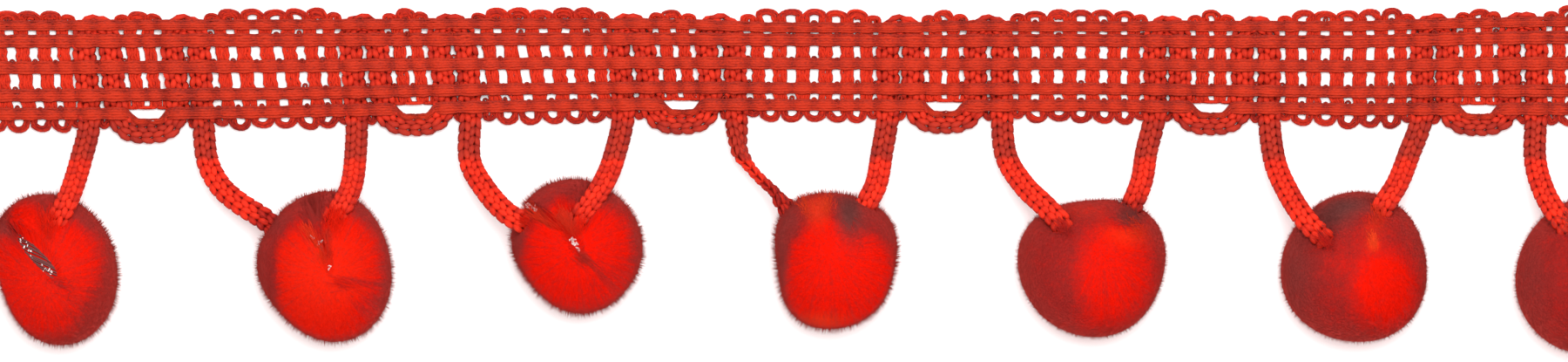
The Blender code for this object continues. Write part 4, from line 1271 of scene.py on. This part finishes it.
# %% Tufts
TUFTS = 18000
LOW_SHARE = 0.10  # of the tufts, spread over the lower side
LOW_BELOW = -0.35
DIRECTION_SHAKE, TIP_SHAKE = 0.012, 0.006
STANDING_ROOT, LYING_ROOT = 0.30, 0.10  # how far under the surface roots are, as a share of the size
ROOT_TRIES = [(0.5, 1.0), (0.06, 1.0), (0.0, 0.2)]  # lean towards the hub, and share of the root's depth
SIDE_BELOW = 0.5  # height of a direction under which every tuft tapers outwards
CORD_CLEAR = 0.4  # how far under the cord's middle line a tuft can pass it


def ball_directions(count, lowest, highest, chance):
    """Evenly spread unit vectors between two heights: a golden-angle spiral, a little shaken."""
    number = np.arange(count) + 0.5
    z = highest - (highest - lowest) * number / count
    angle = number * np.pi * (3 - math.sqrt(5))
    ways = points_round(angle, np.sqrt(1 - z * z), z)
    return unit(ways + chance.normal(0, DIRECTION_SHAKE, ways.shape))


def towards(ways, hub, share):
    """Each direction turned towards the hub by this share of the angle between them."""
    cosine = ways @ hub
    angle = np.arccos(np.clip(cosine, -1, 1))
    away = unit(ways - cosine[:, None] * hub)
    turned = (angle * (1 - share))[:, None]
    return np.cos(turned) * hub + np.sin(turned) * away


def crosses_cord(tips, roots, cord):
    """True where a straight tuft passes over the open cord, seen from above."""
    found = np.zeros(len(tips), bool)
    for share in np.linspace(0, 1, 6):
        at = tips + (roots - tips) * share
        apart = length(at[:, None, :2] - cord[:, :2])
        found |= ((apart < CORD_UNDER) & (at[:, None, 2] > cord[:, 2] - CORD_CLEAR)).any(axis=1)
    return found[:, None]


def tuft_lines(number, chance):
    """Tip and root of every tuft from the pompom's middle, its tone and tint, its taper and how flat it lies.

    A lying tuft's root is nearer to the hub. Where it would then cross the cord, it stands up instead."""
    low = int(TUFTS * LOW_SHARE)
    ways = np.concatenate([ball_directions(TUFTS - low, LOW_BELOW, 1.0, chance),
                           ball_directions(low, -1.0, LOW_BELOW, chance)])
    tone, tint, lay = tone_with_painted_light(number, ways)
    tips = surface_points(number, ways, under=np.abs(chance.normal(0, TIP_SHAKE, TUFTS)))
    cord, roots = cord_over(number), None
    under = STANDING_ROOT + (LYING_ROOT - STANDING_ROOT) * lay
    for lean, deeper in ROOT_TRIES:
        lower = surface_points(number, towards(ways, hub_way(number), lean * lay), under * deeper)
        roots = lower if roots is None else np.where(crosses_cord(tips, roots, cord), lower, roots)
    return tips, roots, tone, tint, 1 - np.clip(ways[:, 2] / SIDE_BELOW, 0, 1), lay


print("tufts of each pompom:", TUFTS)

# %% Loose hairs
HAIR_THICK, HAIR_RISE = 0.03, 0.035  # millimetres, and the share of the size that a hair may stand proud
HAIR_SPREAD, HAIR_TONE_SHAKE, HAIR_RIM = 0.7, 0.12, 0.995
NEVER_ZERO = 0.01  # the least that a length or a square may be before it is divided by or rooted


def over_surface(number, places):
    """The points of a pompom's upper side that lie at these places in plan."""
    from_middle = length(places)
    size = outline(number, np.arctan2(places[:, 1], places[:, 0]))
    flat = np.clip(from_middle / size, 0, HAIR_RIM)
    direction = places / np.maximum(from_middle, NEVER_ZERO)[:, None]
    return size_towards(number, np.column_stack([direction * flat[:, None], np.sqrt(1 - flat**2)]))


def hair_lines(number, chance):
    """Both ends of each loose hair, its tone and its tint. It runs just over the surface."""
    found, tones, tints = [], [], []
    for bunch in of_pompom(number, LOOSE_HAIRS):
        count, ends = bunch["count"], []
        for x, y in (("from_x", "from_y"), ("to_x", "to_y")):
            spread = chance.normal(0, bunch["spread"] * HAIR_SPREAD, (count, 2))
            ends.append(over_surface(number, np.array([bunch[x], bunch[y]]) + spread))
        found.append(np.stack(ends, axis=1) * (1.0 + HAIR_RISE * chance.random((count, 1, 1))))
        tones.append(bunch["tone"] + chance.normal(0, HAIR_TONE_SHAKE, count))
        tints.append(np.full(count, bunch["tint"]))
    return np.concatenate(found), np.concatenate(tones), np.concatenate(tints)


print("loose hairs:", sum(bunch["count"] for bunch in LOOSE_HAIRS))

# %% Spikes
TUFT_END = 0.19  # half size of a tuft's wide end
SMALLEST_END, END_RANGE = 0.7, 0.6
TAPER_THINNER, LYING_THINNER = 0.66, 0.3
FUZZ_SHARE, FUZZ_POWER = 0.25, 1.5  # of the tufts, and how few of these reach all the way out
FUZZ_ON_TOP = 0.35  # of its reach, where the yarn faces up and lies flatter
FUZZ_REACHES = [0.95, 0.9, 0.95, 0.95, 0.6, 0.6, 0.6]  # the last three pompoms are clipped closer
CORNERS = 4  # of a spike


def spike_points(wide_end, point_end, end_size, chance):
    """Three points round the wide end and one at the point."""
    forward = unit(point_end - wide_end)
    side = unit(np.cross(forward, chance.normal(0, 1, forward.shape)))
    over = np.cross(forward, side)
    corners = [side * math.cos(turn) + over * math.sin(turn) for turn in np.radians([90, 210, 330])]
    return np.stack([*(wide_end + corner * end_size[:, None] for corner in corners), point_end], axis=1)


def all_spikes(number, chance):
    """Every tuft and every hair as a spike, with two rows of values: the tone and the tint of each.

    A tuft is widest at its tip. Fluff is widest halfway down and runs out to a point past the surface."""
    tips, roots, tone, tint, taper, lay = tuft_lines(number, chance)
    fluff = (chance.random(TUFTS) < FUZZ_SHARE + (1 - FUZZ_SHARE) * taper)[:, None]
    reach = FUZZ_REACHES[number] * (FUZZ_ON_TOP + (1 - FUZZ_ON_TOP) * taper)
    longer = tips + unit(tips) * (reach * chance.random(TUFTS) ** FUZZ_POWER)[:, None]
    end_size = TUFT_END * (SMALLEST_END + END_RANGE * chance.random(TUFTS))
    end_size = end_size * (1 - TAPER_THINNER * taper) * (1 - LYING_THINNER * lay)
    wide_end, point_end = np.where(fluff, roots + (tips - roots) * 0.5, tips), np.where(fluff, longer, roots)
    tufts = spike_points(wide_end, point_end, end_size, chance)
    hairs, *hair_values = hair_lines(number, chance)
    hairs = spike_points(hairs[:, 0], hairs[:, 1], np.full(len(hairs), HAIR_THICK), chance)
    return np.concatenate([tufts, hairs]), np.concatenate([[tone, tint], hair_values], axis=1)


# %% [markdown]
# Nothing may shine through between the tufts, so a closed bed lies just under their tips. It is a ball of
# rings that is pushed out to the surface in every direction.

# %% The bed
BED_RINGS, BED_AROUND, BED_SHARE = 34, 68, 0.987
SPIKE_MAP_WIDTH = 0.86  # the rest of the bake map is the bed's
MAP_GAP = 0.02


def on_map(steps, levels, corners):
    """Places on the bed's grid: each face's step and level, plus the place of each of its corners."""
    cells = np.stack(np.broadcast_arrays(steps, levels), axis=-1).reshape(-1, 1, 2)
    return (cells + np.array(corners)).reshape(-1, 2)


def bed_mesh(number, first_point):
    """The bed: rings of points round the upright line, closed at both poles.

    Returns its points, their directions, the faces' corners and sizes, and the bake map."""
    fall = np.pi * np.arange(1, BED_RINGS)[:, None] / BED_RINGS
    angle = 2 * np.pi * np.arange(BED_AROUND)[None] / BED_AROUND
    round_ways = points_round(angle, np.sin(fall), np.cos(fall)).reshape(-1, 3)
    ways = np.concatenate([[[0, 0, 1.0]], round_ways, [[0, 0, -1.0]]])
    points = size_towards(number, ways) * (surface_share(number, ways) * BED_SHARE)[:, None]
    ring, step = np.arange(BED_RINGS - 2)[:, None], np.arange(BED_AROUND)[None]
    after, last = (step + 1) % BED_AROUND, BED_RINGS - 2

    def faces(*corners):
        """Faces from the ring and the step of each corner."""
        numbers = [1 + rings * BED_AROUND + steps for rings, steps in corners]
        return np.stack(numbers, axis=-1).reshape(-1, len(corners))

    walls = faces((ring, step), (ring + 1, step), (ring + 1, after), (ring, after))
    top, base = faces((0, step), (0, step), (0, after)), faces((0, step), (last, after), (last, step))
    top[:, 0], base[:, 0] = 0, len(ways) - 1
    flat_map = np.concatenate([
        on_map(step, BED_RINGS - 1 - ring, [(0, 1), (0, 0), (1, 0), (1, 1)]),
        on_map(step, BED_RINGS, [(0.5, 1), (0, 0), (1, 0)]),
        on_map(step, 0, [(0.5, 0), (1, 1), (0, 1)]),
    ]) / [BED_AROUND, BED_RINGS + 1]
    room = np.array([1 - SPIKE_MAP_WIDTH, 1]) - 2 * MAP_GAP
    flat_map = flat_map * room + [SPIKE_MAP_WIDTH + MAP_GAP, MAP_GAP]
    corners = np.concatenate([walls.reshape(-1), top.reshape(-1), base.reshape(-1)]) + first_point
    return points, ways, corners, np.repeat([4, 3], [len(walls), len(top) + len(base)]), flat_map


# %% One pompom
SPIKE_FACES = np.array([[0, 2, 1], [0, 1, 3], [1, 2, 3], [2, 0, 3]])
SPIKE_MAP = np.array([(0.1, 0.1), (0.5, 0.1), (0.9, 0.1), (0.5, 0.9)])
FLOOR_GAP, GAP_SHAKE = 0.05, 0.1  # lowest yarn above the surface, and how much more a spike may have
NORMAL_SHAKE, SIDE_FADE = 0.07, 1.4  # of the shading's directions, and of `side`, which is 1 at the sides


def build_pompom(number, material):
    """One pompom: a bed, all tufts and the loose hairs as one mesh, with a bake map of its own."""
    chance = np.random.default_rng(100 + number)
    spikes, (tone, tint) = all_spikes(number, chance)
    total = len(spikes)
    bed, bed_ways, bed_corners, bed_sizes, bed_map = bed_mesh(number, CORNERS * total)
    bed_tone, bed_tint, _ = tone_with_painted_light(number, bed_ways)
    points = np.concatenate([spikes.reshape(-1, 3), bed])
    ways = unit(points)

    def at_points(on_spikes, on_bed):
        """A value at each point, from one for each spike and one or more for the bed."""
        return np.concatenate([np.repeat(on_spikes, CORNERS), np.broadcast_to(on_bed, len(bed))])

    lift = at_points(GAP_SHAKE * chance.random(total), GAP_SHAKE / 2)
    placed = points + pompom_middles[number]
    placed[:, 2] = np.maximum(placed[:, 2], FLOOR_GAP + lift)
    normals = unit(ways + NORMAL_SHAKE * chance.normal(0, 1, points.shape))
    normals[CORNERS * total:] = ways[CORNERS * total:]
    grid = math.ceil(math.sqrt(total))
    cell = np.stack([np.arange(total) % grid, np.arange(total) // grid], axis=-1)[:, None, None]
    spike_map = ((cell + SPIKE_MAP[SPIKE_FACES]) / grid * [SPIKE_MAP_WIDTH, 1.0]).reshape(-1, 2)
    spike_corners = (CORNERS * np.arange(total)[:, None, None] + SPIKE_FACES).reshape(-1)
    return mesh_object(
        f"pompom_{number + 1}_yarn",
        placed,
        np.concatenate([spike_corners, bed_corners]),
        np.concatenate([np.full(len(SPIKE_FACES) * total, 3), bed_sizes]),
        material,
        maps={"OFBake": np.concatenate([spike_map, bed_map])},
        attributes={
            "depth": length(points) / length(size_towards(number, ways)),
            "tone": at_points(tone, bed_tone),
            "tint": at_points(tint, bed_tint),
            "pick": at_points(chance.random(total), 0.5),
            "side": 1 - np.clip(ways[:, 2] * SIDE_FADE, 0, 1),
        },
        normals=normals,
    )


# %% [markdown]
# Fluffy cut yarn has hardly any shine. Its colour is mixed in steps: the red of clipped ends, over that the
# face's scarlet by tone, and over that orange or grey brown by tint. Noise of two sizes breaks the tone up.
# The tone carries painted light and shade, and it is darker deep among the tufts, which is painted shade
# too. The lighter clipped red round the sides is painted light.

# %% The pompoms' material
FLAT_RED = (0.66, 0.006, 0.0010, 1.0)
# The second red, lighter, round the sides, is painted light that lifts their shade.
CLIPPED_REDS = (0.26, 0.014, 0.012, 1.0), (0.42, 0.040, 0.032, 1.0)  # ends that face up, and round the sides
ORANGE, GREY_BROWN = (0.72, 0.046, 0.012, 1.0), (0.125, 0.033, 0.030, 1.0)
DEEP_PAINTED_SHADE = 0.82  # of the tone: painted shade for yarn that lies deep among the tufts
DEEP_FROM, DEEP_TO = 0.6, 0.93  # shares of the size
TONE_BY_PICK, TONE_BY_MOTTLE, TONE_BY_GRAIN = 0.2, 0.55, 0.45
MOTTLE_SCALE, GRAIN_SCALE = 700.0, 2600.0  # waves of the noise in a metre


def pompom_material():
    """Scarlet where the yarn lies flat, brownish red at clipped ends, with orange and grey-brown places."""
    # The scarlet and the brownish red are in part painted light and shade.
    material, tree, shader = new_material("pompom_scarlet", {"Roughness": 0.95, "Specular IOR Level": 0.03})
    depth, tone, tint, pick, side = (
        attribute(tree, name) for name in ("depth", "tone", "tint", "pick", "side"))
    mottle = noise(object_place(tree), scale=MOTTLE_SCALE, detail=2.0)
    grain = noise(object_place(tree), scale=GRAIN_SCALE, detail=1.0)
    # outer darkens yarn that lies deep among the tufts: painted shade.
    outer = eased(depth, DEEP_FROM, DEEP_TO, low=DEEP_PAINTED_SHADE)
    uneven = (pick - 0.5) * TONE_BY_PICK + (mottle - 0.5) * TONE_BY_MOTTLE + (grain - 0.5) * TONE_BY_GRAIN
    colour = mixed((tone * outer + uneven).kept(), mixed(side, *CLIPPED_REDS), FLAT_RED)
    colour = mixed(tint.kept(), colour, ORANGE)
    colour = mixed((0.0 - tint).kept(), colour, GREY_BROWN)
    colour.into(shader.inputs["Base Color"])
    return material


pompom_scarlet = pompom_material()
pompoms = [build_pompom(number, pompom_scarlet) for number in range(len(POMPOMS))]

# %% [markdown]
# ## The binding thread
#
# In the clefts of the first three pompoms the binding shows: a few turns of thin clear thread, drawn tight,
# that look grey-brown against the yarn. Each turn is a strand that winds round the tie's own line, and
# small loose loops of it stand up where it was knotted. In life the thread glints where the light catches
# it; here the loops are coloured near white, as painted glints.

# %% Threads of the ties
TIES = named("pompom heading low_end high_end half_width level", [  # angles in degrees, level as a share
    (0, 135, 30, 98, 0.85, 0.80), (1, 102, 68, 92, 0.35, 0.72), (2, 146, 66, 98, 0.45, 0.72),
])
KNOTS = named("pompom x y proud", [
    (0, -5.1, 5.4, 0.15), (0, -4.5, 4.5, 0.15), (0, -3.9, 3.6, 0.15), (0, -3.3, 2.6, 0.15),
    (0, -1.4, 0.5, 0.3), (0, -0.8, 0.0, 0.3), (0, -0.3, -0.2, 0.3),
    (1, -2.0, 4.7, 0.3), (1, -0.8, 4.6, 0.3), (1, 1.1, -0.1, 0.3), (1, -6.6, 7.7, 0.5),
    (2, -7.7, 6.9, 0.8), (2, -7.1, 6.6, 0.9), (2, -6.3, 6.2, 0.9), (2, -0.2, 1.3, 0.3), (2, 0.3, 0.6, 0.3),
    (2, 0.9, -0.3, 0.3),
])
THREADS, THREAD_SIZE, THREAD_RINGS, THREAD_SHADE = 15, 0.12, 26, 0.02
THREAD_TURN, THREAD_HEIGHT, THREAD_SHAKE = 5.0, 0.24, 0.2  # radians round the tie, millimetres, radians
KNOT_LOOPS, KNOT_SIZE = [3, 6, 8], 0.14  # loops at each knot of a pompom, and their half size
SMALLEST_LOOP = 0.5
LOOP_THREAD, LOOP_RINGS, LOOP_TURN, LOOP_SHAKE = 0.06, 12, 1.7 * np.pi, 0.2
# GLINT is a painted highlight: the near-white colour of the knot loops.
GREY_THREAD, GLINT = (0.12, 0.020, 0.018, 1.0), (0.86, 0.80, 0.78, 1.0)

tie_chance = np.random.default_rng(8)
clear_thread, tree, shader = new_material("clear_thread", {"Roughness": 0.6, "Specular IOR Level": 0.25})
mixed(attribute(tree, "shade"), GREY_THREAD, GLINT).into(shader.inputs["Base Color"])


def tie_turns(tie):
    """Threads that wind round the tie's line, which climbs over the pompom at a share of its size."""
    climb = np.radians(np.linspace(tie["low_end"], tie["high_end"], THREAD_RINGS))
    heading = math.radians(tie["heading"])
    ways = points_round(heading, np.cos(climb), np.sin(climb))
    middle = pompom_middles[tie["pompom"]] + size_towards(tie["pompom"], ways) * tie["level"]
    sideways = np.array([-math.sin(heading), math.cos(heading), 0.0])
    paths = []
    for thread in range(THREADS):
        phase = 2 * np.pi * thread / THREADS + np.linspace(0, THREAD_TURN, THREAD_RINGS)
        phase = phase + tie_chance.normal(0, THREAD_SHAKE)
        beside = np.outer(tie["half_width"] * np.cos(phase), sideways)
        paths.append(middle + beside + ways * (THREAD_HEIGHT * np.sin(phase))[:, None])
    return strands(paths, THREAD_SIZE, THREAD_SIZE, shade=THREAD_SHADE)


def knot_loops(knot):
    """Small loops of thread, each an open circle turned at random, that stand up at a knot."""
    pompom, x, y = knot["pompom"], knot["x"], knot["y"]
    flat = math.hypot(x, y) / outline(pompom, math.atan2(y, x))
    place = np.array([x, y, POMPOM_HALF_HEIGHT * math.sqrt(max(1 - flat**2, NEVER_ZERO))])
    way = unit(place)
    at = pompom_middles[pompom] + place * surface_share(pompom, way[None])[0] + way * knot["proud"]
    turn = np.linspace(0, LOOP_TURN, LOOP_RINGS)
    loops = []
    for _ in range(KNOT_LOOPS[pompom]):
        size = KNOT_SIZE * (SMALLEST_LOOP + tie_chance.random())
        first, second = unit(tie_chance.normal(0, 1, (2, 3)))
        middle = at + tie_chance.normal(0, LOOP_SHAKE, 3)
        loops.append(middle + size * (np.outer(np.cos(turn), first) + np.outer(np.sin(turn), second)))
    # shade 1 gives the loops the painted glint colour.
    return strands(loops, LOOP_THREAD, LOOP_THREAD, shade=1.0)


ties = []
for tie in TIES:
    batches = [tie_turns(tie), *[knot_loops(knot) for knot in of_pompom(tie["pompom"], KNOTS)]]
    ties.append(strand_object(f"tie_{tie['pompom'] + 1}_threads", batches, clear_thread))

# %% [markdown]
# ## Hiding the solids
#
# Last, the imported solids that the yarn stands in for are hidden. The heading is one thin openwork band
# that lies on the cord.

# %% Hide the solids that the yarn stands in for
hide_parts("heading")
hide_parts("heading")
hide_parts("carrier_cord")
for number, pompom in enumerate(pompoms):
    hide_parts(f"pompom_{number + 1}")
for number, tie in enumerate(ties):
    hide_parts(f"tie_{number + 1}")

bpy.context.view_layer.update()
